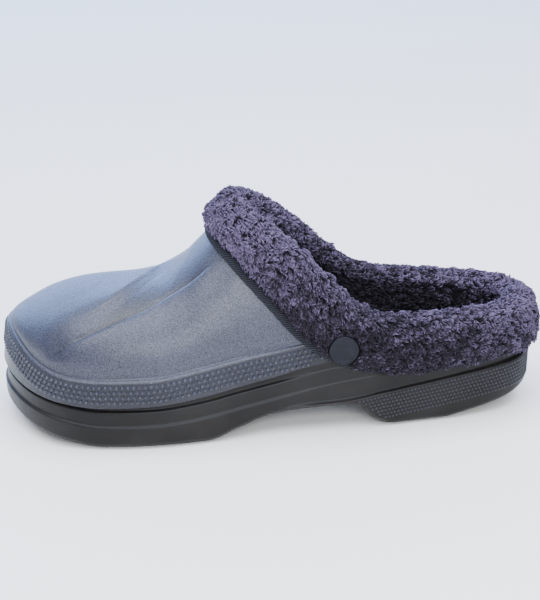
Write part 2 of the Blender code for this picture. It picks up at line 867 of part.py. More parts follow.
def rivet_dent(points, centres):
    """How far the rivets press the pile, 1 at their centres."""
    dent = np.zeros(len(points))
    for centre in centres:
        reach = np.linalg.norm(points - np.array(centre), axis=1) / RIVET_PRESS
        dent = np.maximum(dent, np.exp(-reach ** 4))
    return dent


def build_cuff(edge, centres, collection, material):
    """Fleece cuff folded over the collar's edge."""
    flap = blend(COLLARS, "flap", edge.along) * FLAP_WIDTH
    bed = side_height("footbed", edge.along) + INSOLE_THICK + INNER_LEG_REST
    leg = np.minimum(INNER_LEG, edge.inside[:, 2] - bed)
    gap = FIT_GAP
    outer = {}
    for share in (0.0, 0.33, 0.66, 1.0):
        outer[share] = edge.outer_skin.run(np.maximum(flap * share, 1e-5))
    inside = {}
    for share in (0.0, 0.5, 1.0):
        inside[share] = edge.inner_skin.run(np.maximum(leg * share, 1e-5))
    up = edge.up
    rows = []
    for share in (1.0, 0.66, 0.33, 0.0):
        spot, normal = outer[share]
        rows.append(spot + normal * gap)
    spot, normal = outer[0.0]
    rows.append(spot + normal * gap + up * RIM_GAP)
    spot, normal = inside[0.0]
    rows.append(spot + normal * gap + up * RIM_GAP)
    for share in (0.0, 0.5, 1.0):
        spot, normal = inside[share]
        rows.append(spot + normal * gap)
    spot, normal = inside[1.0]
    rows.append(spot - up * LEG_ROUND + normal * (gap + PILE_INNER * 0.55))
    for share, row in ((1.0, 1), (0.5, 2)):
        spot, normal = inside[share]
        rows.append(spot + normal * (gap + PILE_INNER + tufts(CUFF_STATIONS, row))[:, None])
    spot, normal = inside[0.0]
    rows.append(spot + normal * (gap + PILE_INNER + tufts(CUFF_STATIONS, 3))[:, None])
    rows.append(spot + normal * (gap + PILE_INNER * 0.7) + up * (gap + PILE_TOP * 0.72))
    middle = 0.5 * (outer[0.0][0] + inside[0.0][0])
    rows.append(middle + up * (gap + PILE_TOP + tufts(CUFF_STATIONS, 4))[:, None])
    spot, normal = outer[0.0]
    rows.append(spot + normal * (gap + PILE_OUTER * 0.7) + up * (gap + PILE_TOP * 0.66))
    for share, row, full in ((0.0, 5, 1.0), (0.33, 6, 1.04), (0.66, 7, 1.02), (1.0, 8, 0.80)):
        spot, normal = outer[share]
        pile = PILE_OUTER * full + tufts(CUFF_STATIONS, row)
        dent = rivet_dent(spot, centres)
        pile = pile * (1 - dent) + (RIVET_SEAT - FIT_GAP) * dent
        rows.append(spot + normal * (gap + pile)[:, None])
    spot, normal = outer[1.0]
    rows.append(spot - up * FLAP_ROUND + normal * (gap + PILE_OUTER * 0.35))
    return build_loft("fleece_cuff", collection, rows, material)


def build_binding(edge, collection, material):
    """Woven tape along the lower edge of the cuff's flap."""
    flap = blend(COLLARS, "flap", edge.along) * FLAP_WIDTH
    width = blend(COLLARS, "tape", edge.along) * TAPE_WIDTH
    start = flap + FLAP_ROUND + TAPE_GAP
    rows = []
    for share, lift in ((0.0, 0.0), (0.35, 0.0), (0.7, 0.0), (1.0, 0.0), (1.0, 0.8), (0.0, 1.0)):
        spot, normal = edge.outer_skin.run(start + width * share)
        rows.append(spot + normal * (TAPE_LIFT + TAPE_THICK * lift))
    return build_loft("cuff_binding", collection, rows, material)


def build_insole(ribs, inner, collection, material):
    """Fleece-topped footbed pad."""
    wall = inner[4]
    plan = wall[:, :2]
    bed = bed_floor(np.clip(plan[:, 0] / LENGTH, 0, 1))
    rim = plan + ribs.inward * INSOLE_RIM[0].inset
    rows = spread(ribs, rim, INSOLE_SHARES, bed_floor, FIT_GAP)
    for corner in INSOLE_RIM:
        rows.append(ribs.raised(plan + ribs.inward * corner.inset, bed + corner.lift))
    rows += spread(ribs, rim, INSOLE_SHARES[::-1], bed_floor, FIT_GAP + INSOLE_THICK)
    bm = bmesh.new()
    ring_rows = [[bm.verts.new(p) for p in ring[::2]] for ring in rows]
    bridge(bm, ring_rows)
    bmesh.ops.remove_doubles(bm, verts=bm.verts, dist=1e-6)
    return mesh_object("insole", collection, bm, material)


def turned(name, collection, profile, frame, material):
    """Solid of revolution: (radius, height) profile, top to bottom."""
    mesh = bpy.data.meshes.new(name)
    points = [(radius, 0.0, height) for radius, height in profile]
    edges = [(k, k + 1) for k in range(len(points) - 1)]
    mesh.from_pydata(points, edges, [])
    mesh.materials.append(material)
    obj = bpy.data.objects.new(name, mesh)
    collection.objects.link(obj)
    obj.matrix_world = frame
    screw = obj.modifiers.new("turn", "SCREW")
    screw.steps = RIVET_SEGMENTS
    screw.render_steps = RIVET_SEGMENTS
    screw.use_merge_vertices = True
    screw.merge_threshold = 0.00001
    screw.use_smooth_shade = True
    return obj


def rivet_frame(tree, outward):
    """Place and axis of a rivet on one side of the body."""
    height = RIVET_UP * INSTEP_HEIGHT
    start = Vector((RIVET_ALONG * LENGTH, outward * BALL_WIDTH, height))
    spot, normal, _, _ = tree.ray_cast(start, Vector((0.0, -outward, 0.0)))
    axis = Vector((0.0, outward, normal.z)).normalized()
    turn = axis.to_track_quat("Z", "Y").to_matrix().to_4x4()
    return Matrix.Translation(spot) @ turn, spot


def wall_depth(inner_tree, frame):
    """Greatest depth of the body's wall under a rivet's flange."""
    spot = frame.to_translation()
    turn = frame.to_3x3()
    axis = turn @ Vector((0.0, 0.0, 1.0))
    depths = [inner_tree.ray_cast(spot, -axis)[3]]
    for k in range(12):
        angle = math.pi * k / 6
        across = Vector((math.cos(angle), math.sin(angle), 0.0)) * RIVET_FLANGE_RADIUS
        depths.append(inner_tree.ray_cast(spot + turn @ across, -axis)[3])
    return max(depths)


def build_rivet(name, frame, depth, collection, material):
    """Rivet: domed head outside, post, thin flange inside."""
    top = RIVET_SEAT + RIVET_HEAD_THICK
    back = -depth - RIVET_CLEAR
    end = back - RIVET_FLANGE_THICK
    profile = (
        (0.0, top + RIVET_EDGE * 0.1),
        (RIVET_HEAD_RADIUS - 2.2 * RIVET_EDGE, top - RIVET_EDGE * 0.3),
        (RIVET_HEAD_RADIUS - RIVET_EDGE, top),
        (RIVET_HEAD_RADIUS, top - RIVET_EDGE),
        (RIVET_HEAD_RADIUS, RIVET_SEAT),
        (RIVET_POST_RADIUS, RIVET_SEAT),
        (RIVET_POST_RADIUS, back),
        (RIVET_FLANGE_RADIUS, back),
        (RIVET_FLANGE_RADIUS, end),
        (0.0, end),
    )
    return turned(name, collection, profile, frame, material)


def rivet_cutters(name, frame, depth, collection, material):
    """The hole through the body, and the pockets in the fleece."""
    hole = RIVET_POST_RADIUS + RIVET_CLEAR
    flange = RIVET_FLANGE_RADIUS + 3 * RIVET_CLEAR
    head = RIVET_HEAD_RADIUS + 3 * RIVET_CLEAR
    beyond = depth + 2 * WALL
    high = RIVET_SEAT + 2 * PILE_OUTER
    seat = RIVET_SEAT - RIVET_CLEAR
    behind = -depth - RIVET_FLANGE_THICK - 3 * RIVET_CLEAR
    body_profile = ((0.0, beyond), (hole, beyond), (hole, -beyond), (0.0, -beyond))
    fleece_profile = (
        (0.0, high),
        (head, high),
        (head, seat),
        (hole, seat),
        (hole, -depth * 0.6),
        (flange, -depth * 0.6),
        (flange, behind),
        (0.0, behind),
    )
    body_cut = turned(f"{name}_hole", collection, body_profile, frame, material)
    fleece_cut = turned(f"{name}_pocket", collection, fleece_profile, frame, material)
    return body_cut, fleece_cut


def make_material(name, colour, roughness, metallic=0.0):
    """Plain Principled material."""
    material = bpy.data.materials.new(name)
    material.use_nodes = True
    shader = material.node_tree.nodes["Principled BSDF"]
    shader.inputs["Base Color"].default_value = (*colour, 1.0)
    shader.inputs["Roughness"].default_value = roughness
    shader.inputs["Metallic"].default_value = metallic
    return material


def make_collection(name):
    """New collection in the scene."""
    collection = bpy.data.collections.new(name)
    bpy.context.scene.collection.children.link(collection)
    return collection


def clear_scene():
    """Remove what the scene starts with."""
    for obj in list(bpy.data.objects):
        bpy.data.objects.remove(obj, do_unlink=True)


def centre_parts(parts, cutters):
    """Move the whole shoe so that its box is centred on the floor."""
    points = np.array([part.matrix_world @ v.co for part in parts for v in part.data.vertices])
    low = points.min(axis=0)
    high = points.max(axis=0)
    shift = Vector((-(low[0] + high[0]) / 2, -(low[1] + high[1]) / 2, -low[2]))
    for obj in parts + cutters:
        obj.matrix_world = Matrix.Translation(shift) @ obj.matrix_world


def main():
    """Build the clog."""
    clear_scene()
    shoe = make_collection("clog_slipper")
    cutters = make_collection("cutters")
    foam = make_material("slate_foam", (0.075, 0.082, 0.105), 0.55)
    fleece = make_material("plum_fleece", (0.060, 0.052, 0.085), 0.95)
    twill = make_material("black_twill", (0.012, 0.012, 0.016), 0.85)
    cap = make_material("slate_cap", (0.050, 0.056, 0.072), 0.40)

    outline = Outline()
    ribs = Ribs(outline)
    body, side, dome, inner = build_body(ribs, shoe, foam)
    lugs = build_lugs(outline, cutters)
    add_boolean(body, lugs, "UNION")

    edge = Edge(ribs, side, dome, inner)
    inner_tree = edge.inner_skin.tree
    frames = {}
    for name, outward in (("rivet_outer", -1.0), ("rivet_inner", 1.0)):
        frames[name] = rivet_frame(edge.outer_skin.tree, outward)
    centres = [spot for _, spot in frames.values()]
    cuff = build_cuff(edge, centres, shoe, fleece)
    binding = build_binding(edge, shoe, twill)
    insole = build_insole(ribs, inner, shoe, fleece)

    rivets = []
    tools = [lugs]
    for name, (frame, _) in frames.items():
        depth = wall_depth(inner_tree, frame)
        hole, pockets = rivet_cutters(name, frame, depth, cutters, cap)
        add_boolean(body, hole, "DIFFERENCE")
        add_boolean(cuff, pockets, "DIFFERENCE")
        rivets.append(build_rivet(name, frame, depth, shoe, cap))
        tools += [hole, pockets]
    bpy.context.view_layer.update()
    centre_parts([body, cuff, binding, insole] + rivets, tools)


main()
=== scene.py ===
"""Fleece-lined clog slipper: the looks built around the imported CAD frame.

The moulded body is drawn again from the shoe's own tables at a fine grid, so that its
skin, creases, pimples and tread can follow it closely. The fleece, the tape and the
lining are then grown on that skin.

Metres, +Z up, toe towards -X, outer side of the foot towards -Y, in the CAD's frame.
"""

from __future__ import annotations

import logging
import math
from collections.abc import Callable, Sequence
from dataclasses import dataclass, replace
from enum import Enum
from typing import NamedTuple

import bmesh
import bpy
import numpy as np
from mathutils import Matrix, Vector
from mathutils.bvhtree import BVHTree

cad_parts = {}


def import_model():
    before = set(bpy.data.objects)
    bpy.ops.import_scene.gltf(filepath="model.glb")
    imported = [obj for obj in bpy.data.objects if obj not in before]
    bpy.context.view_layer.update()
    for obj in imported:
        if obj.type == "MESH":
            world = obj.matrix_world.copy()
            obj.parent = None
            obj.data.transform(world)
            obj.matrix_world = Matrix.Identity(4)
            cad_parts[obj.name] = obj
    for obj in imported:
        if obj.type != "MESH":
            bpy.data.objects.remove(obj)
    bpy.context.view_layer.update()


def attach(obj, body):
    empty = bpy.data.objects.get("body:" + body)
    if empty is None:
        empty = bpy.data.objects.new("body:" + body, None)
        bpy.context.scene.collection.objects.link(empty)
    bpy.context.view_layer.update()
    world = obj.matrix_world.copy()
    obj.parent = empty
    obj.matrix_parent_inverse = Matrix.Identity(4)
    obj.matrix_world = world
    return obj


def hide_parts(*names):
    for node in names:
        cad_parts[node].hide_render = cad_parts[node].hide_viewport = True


log = logging.getLogger("clog")

Array = np.ndarray

# Sizes shared with the CAD, metres
LENGTH = 0.285
BALL_WIDTH = 0.110
SIDE_HEIGHT = 0.040
INSTEP_HEIGHT = 0.1115
THROAT = 0.445
TOE_CENTRE = 0.30
HEEL_CENTRE = 0.86
WALL = 0.0035
TOE_LEAN = 0.0030
TOE_LEAN_END = 0.14
RIM_OUTER = 0.0046
RIM_WIDTH = 0.0044
TREAD_DEPTH = 0.003
STEP_ROUND = 0.0009
FADE_START = 0.50
FADE_END = 0.60
ARCH_START = 0.44
ARCH_END = 0.70
SHIFT = (-0.145447, -0.000464, 0.0)

# Fleece, tape and rivets, as in the CAD
FLAP_WIDTH = 0.020
FIT_GAP = 0.0007
PILE_OUTER = 0.0080
PILE_TOP = 0.0080
PILE_INNER = 0.0060
INNER_LEG = 0.021
LEG_ROUND = 0.0020
FLAP_ROUND = 0.0008
INSOLE_THICK = 0.005
INNER_LEG_REST = 0.0060
SKIN_STEP = 0.0015
TAPE_WIDTH = 0.0046
TAPE_THICK = 0.0015
TAPE_GAP = 0.0008
TAPE_LIFT = 0.0011
RIVET_PRESS = 0.011
RIVET_SEAT = 0.0042
RIVET_PLACES = ((0.034673, -0.040007, 0.0465), (0.034673, 0.036147, 0.0465))
RIVET_TILT = 0.0276


class Plan(NamedTuple):
    """Outline pair: share of the length, shares of the ball's width."""

    along: float
    outer: float
    inner: float


TOE_TIP = 0.145
HEEL_TIP = -0.020
PLAN = (
    Plan(0.030, -0.170, 0.345),
    Plan(0.100, -0.385, 0.450),
    Plan(0.200, -0.469, 0.487),
    Plan(0.320, -0.477, 0.484),
    Plan(0.440, -0.434, 0.443),
    Plan(0.560, -0.395, 0.385),
    Plan(0.680, -0.381, 0.352),
    Plan(0.800, -0.343, 0.345),
    Plan(0.920, -0.285, 0.275),
    Plan(0.975, -0.200, 0.170),
)


class Side(NamedTuple):
    """Heights up the sole's side, shares of SIDE_HEIGHT."""

    along: float
    tread: float
    heel_band: float
    lower_step: float
    upper_step: float
    band_foot: float
    band_top: float
    footbed: float


SIDES = (
    Side(0.00, 0.240, 0.325, 0.510, 0.690, 0.790, 1.300, 0.650),
    Side(0.06, 0.140, 0.240, 0.445, 0.630, 0.690, 1.080, 0.580),
    Side(0.12, 0.065, 0.165, 0.375, 0.565, 0.625, 0.975, 0.525),
    Side(0.19, 0.000, 0.092, 0.310, 0.508, 0.583, 0.935, 0.470),
    Side(0.28, 0.000, 0.092, 0.300, 0.502, 0.590, 0.935, 0.450),
    Side(0.38, 0.000, 0.096, 0.360, 0.562, 0.667, 1.030, 0.465),
    Side(0.44, 0.135, 0.222, 0.432, 0.635, 0.747, 1.100, 0.520),
    Side(0.50, 0.265, 0.352, 0.500, 0.705, 0.822, 1.160, 0.600),
    Side(0.56, 0.305, 0.390, 0.575, 0.782, 0.897, 1.205, 0.660),
    Side(0.62, 0.315, 0.402, 0.650, 0.857, 0.965, 1.235, 0.695),
    Side(0.66, 0.290, 0.430, 0.690, 0.870, 0.975, 1.190, 0.700),
    Side(0.70, 0.060, 0.482, 0.715, 0.875, 0.975, 1.125, 0.700),
    Side(0.73, 0.000, 0.510, 0.730, 0.880, 0.977, 1.100, 0.695),
    Side(0.82, 0.000, 0.592, 0.780, 0.900, 0.990, 1.085, 0.685),
    Side(0.88, 0.070, 0.650, 0.812, 0.912, 1.000, 1.087, 0.680),
    Side(0.94, 0.150, 0.695, 0.840, 0.930, 1.015, 1.100, 0.690),
    Side(1.00, 0.250, 0.735, 0.870, 0.950, 1.030, 1.112, 0.710),
)


class Crown(NamedTuple):
    """Middle line of the upper: share of INSTEP_HEIGHT and roundness."""

    along: float
    height: float
    across: float
    upward: float


CROWNS = (
    Crown(0.00, 0.520, 2.40, 2.30),
    Crown(0.05, 0.590, 2.40, 2.30),
    Crown(0.10, 0.640, 2.40, 2.30),
    Crown(0.16, 0.663, 2.40, 2.25),
    Crown(0.24, 0.670, 2.35, 2.20),
    Crown(0.30, 0.693, 2.25, 2.10),
    Crown(0.345, 0.755, 2.15, 1.98),
    Crown(0.385, 0.848, 2.05, 1.85),
    Crown(0.42, 0.938, 1.92, 1.72),
    Crown(0.445, 1.000, 1.85, 1.65),
    Crown(0.50, 1.076, 1.75, 1.55),
    Crown(0.60, 1.110, 1.80, 1.60),
    Crown(0.70, 1.110, 1.90, 1.70),
    Crown(1.00, 1.110, 1.90, 1.70),
)


class Collar(NamedTuple):
    """Edge of the opening, shares of INSTEP_HEIGHT, and the flap's share."""

    along: float
    outer: float
    inner: float
    flap: float
    tape: float


COLLARS = (
    Collar(0.445, 1.000, 1.000, 0.64, 1.00),
    Collar(0.470, 0.962, 0.962, 0.73, 1.00),
    Collar(0.500, 0.910, 0.910, 0.85, 1.00),
    Collar(0.530, 0.845, 0.848, 0.91, 1.00),
    Collar(0.575, 0.733, 0.742, 0.96, 1.00),
    Collar(0.600, 0.665, 0.680, 0.99, 1.00),
    Collar(0.637, 0.572, 0.596, 1.02, 0.80),
    Collar(0.673, 0.507, 0.535, 1.00, 0.50),
    Collar(0.700, 0.482, 0.510, 1.00, 0.38),
    Collar(0.740, 0.466, 0.492, 0.99, 0.34),
    Collar(0.800, 0.458, 0.478, 0.98, 0.34),
    Collar(0.880, 0.458, 0.466, 0.93, 0.34),
    Collar(0.940, 0.462, 0.464, 0.86, 0.34),
    Collar(1.000, 0.466, 0.466, 0.80, 0.34),
)


class SideRing(NamedTuple):
    """A ring of the side: its level, its lift over it, its insets in metres."""

    level: str
    lift: float
    fore: float
    rear: float
    rounding: float


SIDE_RINGS = (
    SideRing("tread", 0.0, RIM_OUTER + RIM_WIDTH, RIM_OUTER + RIM_WIDTH, 0.0005),
    SideRing("tread", 0.0, RIM_OUTER, RIM_OUTER, 0.0020),
    SideRing("tread", 0.0010, 0.0020, 0.0014, 0.0010),
    SideRing("tread", 0.0029, 0.0005, -0.0004, 0.0010),
    SideRing("heel_band", 0.0, 0.0002, -0.0010, 0.0006),
    SideRing("heel_band", STEP_ROUND, 0.0002, 0.0012, 0.0006),
    SideRing("lower_step", 0.0, 0.0001, 0.0014, 0.0006),
    SideRing("lower_step", STEP_ROUND, 0.0014, 0.0019, 0.0006),
    SideRing("upper_step", 0.0, 0.0015, 0.0021, 0.0006),
    SideRing("upper_step", STEP_ROUND, 0.0034, 0.0026, 0.0006),
    SideRing("band_foot", -STEP_ROUND * 0.6, 0.0034, 0.0027, 0.0005),
    SideRing("band_foot", 0.0, 0.0002, 0.0028, 0.0005),
    SideRing("band_top", -0.0005, 0.0006, 0.0031, 0.0004),
    SideRing("band_top", STEP_ROUND * 0.8, 0.0018, 0.0033, 0.0004),
    SideRing("band_top", STEP_ROUND, 0.0030, 0.0036, 0.0004),
)


def smooth_step(low: float, high: float, value: Array | float) -> Array:
    """Ease from 0 at low to 1 at high.

    Args:
        low: Where the ease starts.
        high: Where it ends; may lie below low.
        value: What is eased.

    Returns:
        Values from 0 to 1.
    """
    t = np.clip((np.asarray(value, float) - low) / (high - low), 0.0, 1.0)
    return t * t * (3.0 - 2.0 * t)


def blend(table: Sequence[NamedTuple], column: str, along: Array | float) -> Array:
    """Monotone cubic through one column of a table.

    Args:
        table: Rows with an along field.
        column: Name of the field to read.
        along: Shares of the shoe's length.

    Returns:
        The column's value at each share.
    """
    x = np.array([row.along for row in table])
    y = np.array([getattr(row, column) for row in table])
    h = np.diff(x)
    slope = np.diff(y) / h
    grade = np.zeros_like(y)
    grade[0] = slope[0]
    grade[-1] = slope[-1]
    same = slope[:-1] * slope[1:] > 0
    w1 = 2 * h[1:] + h[:-1]
    w2 = h[1:] + 2 * h[:-1]
    inner = np.zeros(len(slope) - 1)
    inner[same] = (w1 + w2)[same] / (w1[same] / slope[:-1][same] + w2[same] / slope[1:][same])
    grade[1:-1] = inner
    at = np.clip(np.asarray(along, float), x[0], x[-1])
    k = np.clip(np.searchsorted(x, at, side="right") - 1, 0, len(h) - 1)
    t = (at - x[k]) / h[k]
    low = (1 + 2 * t) * (1 - t) ** 2 * y[k] + t * (1 - t) ** 2 * h[k] * grade[k]
    high = t * t * (3 - 2 * t) * y[k + 1] + t * t * (t - 1) * h[k] * grade[k + 1]
    return low + high


def normalised(vectors: Array) -> Array:
    """Vectors scaled to length one along their last axis."""
    size = np.linalg.norm(vectors, axis=-1, keepdims=True)
    return vectors / np.maximum(size, 1e-12)


def grid_normals(grid: Array) -> Array:
    """Normals of a grid of closed rings, rings by points by three."""
    way = np.roll(grid, -1, 1) - np.roll(grid, 1, 1)
    return normalised(np.cross(way, np.gradient(grid, axis=0)))


def round_off(values: Array, passes: int) -> Array:
    """Average each value of a closed loop with its neighbours, some passes.

    Args:
        values: One row for each point of the loop.
        passes: How many times it is averaged.

    Returns:
        The smoothed rows.
    """
    for _ in range(passes):
        values = (np.roll(values, 1, 0) + 2 * values + np.roll(values, -1, 0)) / 4
    return values


def closed_spline(points: Array, steps: int) -> Array:
    """Periodic cubic through plan points.

    Args:
        points: Corners in order, two columns.
        steps: Samples in each span.

    Returns:
        The curve's samples.
    """
    points = np.asarray(points, float)
    span = np.linalg.norm(np.roll(points, -1, 0) - points, axis=1) ** 0.75
    count = len(points)
    system = np.zeros((count, count))
    right = np.zeros((count, 2))
    for i in range(count):
        before = span[i - 1]
        after = span[i]
        system[i, i - 1] = before
        system[i, i] = 2 * (before + after)
        system[i, (i + 1) % count] = after
        ahead = (points[(i + 1) % count] - points[i]) / after
        behind = (points[i] - points[i - 1]) / before
        right[i] = 6 * (ahead - behind)
    bend = np.linalg.solve(system, right)
    curve = []
    for i in range(count):
        nxt = (i + 1) % count
        h = span[i]
        for t in np.linspace(0, 1, steps, endpoint=False):
            a = 1 - t
            base = a * points[i] + t * points[nxt]
            curve.append(base + ((a**3 - a) * bend[i] + (t**3 - t) * bend[nxt]) * h * h / 6)
    return np.array(curve)


class Outline:
    """The plan outline, its inward normals and its middle line."""

    def __init__(self) -> None:
        """Draw the periodic outline through the plan table."""
        pairs = [(0.0, TOE_TIP)]
        pairs += [(row.along, row.outer) for row in PLAN]
        pairs += [(1.0, HEEL_TIP)]
        pairs += [(row.along, row.inner) for row in reversed(PLAN)]
        self.curve = closed_spline(np.array(pairs) * (LENGTH, BALL_WIDTH), 48)
        way = normalised(np.roll(self.curve, -1, 0) - np.roll(self.curve, 1, 0))
        self.inward = np.stack((-way[:, 1], way[:, 0]), axis=1)
        self.tip = int(np.argmin(self.curve[:, 0]))
        self.back = int(np.argmax(self.curve[:, 0]))

    def side(self, outer: bool) -> list[int]:
        """Index range of one side, toe to heel.

        Args:
            outer: True for the outer side.

        Returns:
            Indexes into the curve.
        """
        count = len(self.curve)
        if outer:
            return [(self.tip + k) % count for k in range((self.back - self.tip) % count + 1)]
        return [(self.tip - k) % count for k in range((self.tip - self.back) % count + 1)]

    def at_along(self, along: float, outer: bool) -> tuple[Array, Array]:
        """Point and inward normal of one side at a share of the length.

        Args:
            along: Share of the length.
            outer: True for the outer side.

        Returns:
            The point and its normal.
        """
        index = self.side(outer)
        where = np.interp(along * LENGTH, self.curve[index, 0], np.arange(len(index)))
        return self._between(index, where)

    def at_angle(self, centre: Array, angle: float, outer: bool) -> tuple[Array, Array]:
        """Point and inward normal where a ray from the centre leaves.

        Args:
            centre: The ray's start.
            angle: Turn from the toe, radians.
            outer: True for the outer side.

        Returns:
            The point and its normal.
        """
        off = self.curve - centre
        sign = -1.0 if outer else 1.0
        turn = np.mod(np.arctan2(sign * off[:, 1], -off[:, 0]) + 0.5, 2 * math.pi) - 0.5
        order = np.argsort(turn)
        where = np.interp(angle, turn[order], np.arange(len(order)))
        return self._between(order, where)

    def _between(self, index: Sequence[int], where: float) -> tuple[Array, Array]:
        """Interpolate the curve and its normal between two samples.

        Args:
            index: The curve's samples in order.
            where: Fractional place among them.

        Returns:
            The point and its normal.
        """
        low = int(min(where, len(index) - 2))
        t = where - low
        a = index[low]
        b = index[low + 1]
        point = self.curve[a] * (1 - t) + self.curve[b] * t
        return point, normalised(self.inward[a] * (1 - t) + self.inward[b] * t)

    def middle(self, along: float) -> float:
        """Middle line's place across at a share of the length.

        Args:
            along: Share of the length.

        Returns:
            The place across, metres.
        """
        outer = self.at_along(along, True)[0]
        inner = self.at_along(along, False)[0]
        return 0.5 * (outer[1] + inner[1])


@dataclass(frozen=True)
class Density:
    """How finely the body's grid is cut, ribs counted over one side."""

    toe: int = 60
    vamp: int = 70
    open: int = 96
    heel: int = 34
    dome: int = 76
    inside: int = 14


class Ribs:
    """Foot, inward normal and spine point of every rib, round the shoe."""

    def __init__(self, outline: Outline, density: Density) -> None:
        """Lay out the ribs: fan, cross ribs, fan, and back.

        Args:
            outline: The plan outline.
            density: How many ribs each stretch has.
        """
        self.density = density
        toe = np.array((TOE_CENTRE * LENGTH, outline.middle(TOE_CENTRE)))
        heel = np.array((HEEL_CENTRE * LENGTH, outline.middle(HEEL_CENTRE)))
        vamp = np.linspace(TOE_CENTRE, THROAT, density.vamp)
        rise = np.linspace(0, 1, density.open) ** 1.5
        cross = np.concatenate((vamp, THROAT + (HEEL_CENTRE - THROAT) * rise[1:]))
        outer: list[tuple] = []
        inner: list[tuple] = []
        for side, bag in ((True, outer), (False, inner)):
            for angle in np.linspace(0, math.pi / 2, density.toe, endpoint=False):
                bag.append((*outline.at_angle(toe, angle, side), toe))
            for along in cross:
                spine = np.array((along * LENGTH, outline.middle(along)))
                bag.append((*outline.at_along(along, side), spine))
            for angle in np.linspace(math.pi / 2, math.pi, density.heel + 1)[1:]:
                bag.append((*outline.at_angle(heel, angle, side), heel))
        rows = outer + inner[-2:0:-1]
        self.foot = np.array([row[0] for row in rows])
        self.inward = np.array([row[1] for row in rows])
        self.spine = np.array([row[2] for row in rows])
        self.count = len(rows)
        self.along = np.clip(self.foot[:, 0] / LENGTH, 0, 1)
        self.open = self.spine[:, 0] / LENGTH > THROAT + 1e-6
        self.outer_side = np.arange(self.count) <= self.count // 2

    def inset(self, distance: Array | float) -> Array:
        """Plan points moved inwards from the outline."""
        return self.foot + self.inward * np.reshape(distance, (-1, 1))

    def raised(self, plan: Array, height: Array | float) -> Array:
        """Plan points with a height each."""
        return np.column_stack((plan, np.broadcast_to(height, (self.count,))))


def side_height(column: str, along: Array | float) -> Array:
    """Height of one line of the sole's side."""
    return blend(SIDES, column, along) * SIDE_HEIGHT


def tread_recess(along: Array | float) -> Array:
    """Depth of the tread's field, nearly none under the arch.

    Args:
        along: Shares of the shoe's length.

    Returns:
        Depths in metres.
    """
    arch = smooth_step(ARCH_START, ARCH_START + 0.04, along)
    arch = arch * (1 - smooth_step(ARCH_END - 0.03, ARCH_END, along))
    return TREAD_DEPTH * (1 - 0.9 * arch)


def tread_floor(along: Array) -> Array:
    """Height of the sole between the lugs."""
    return side_height("tread", along) + tread_recess(along)


def bed_floor(along: Array) -> Array:
    """Height of the footbed."""
    return side_height("footbed", along)


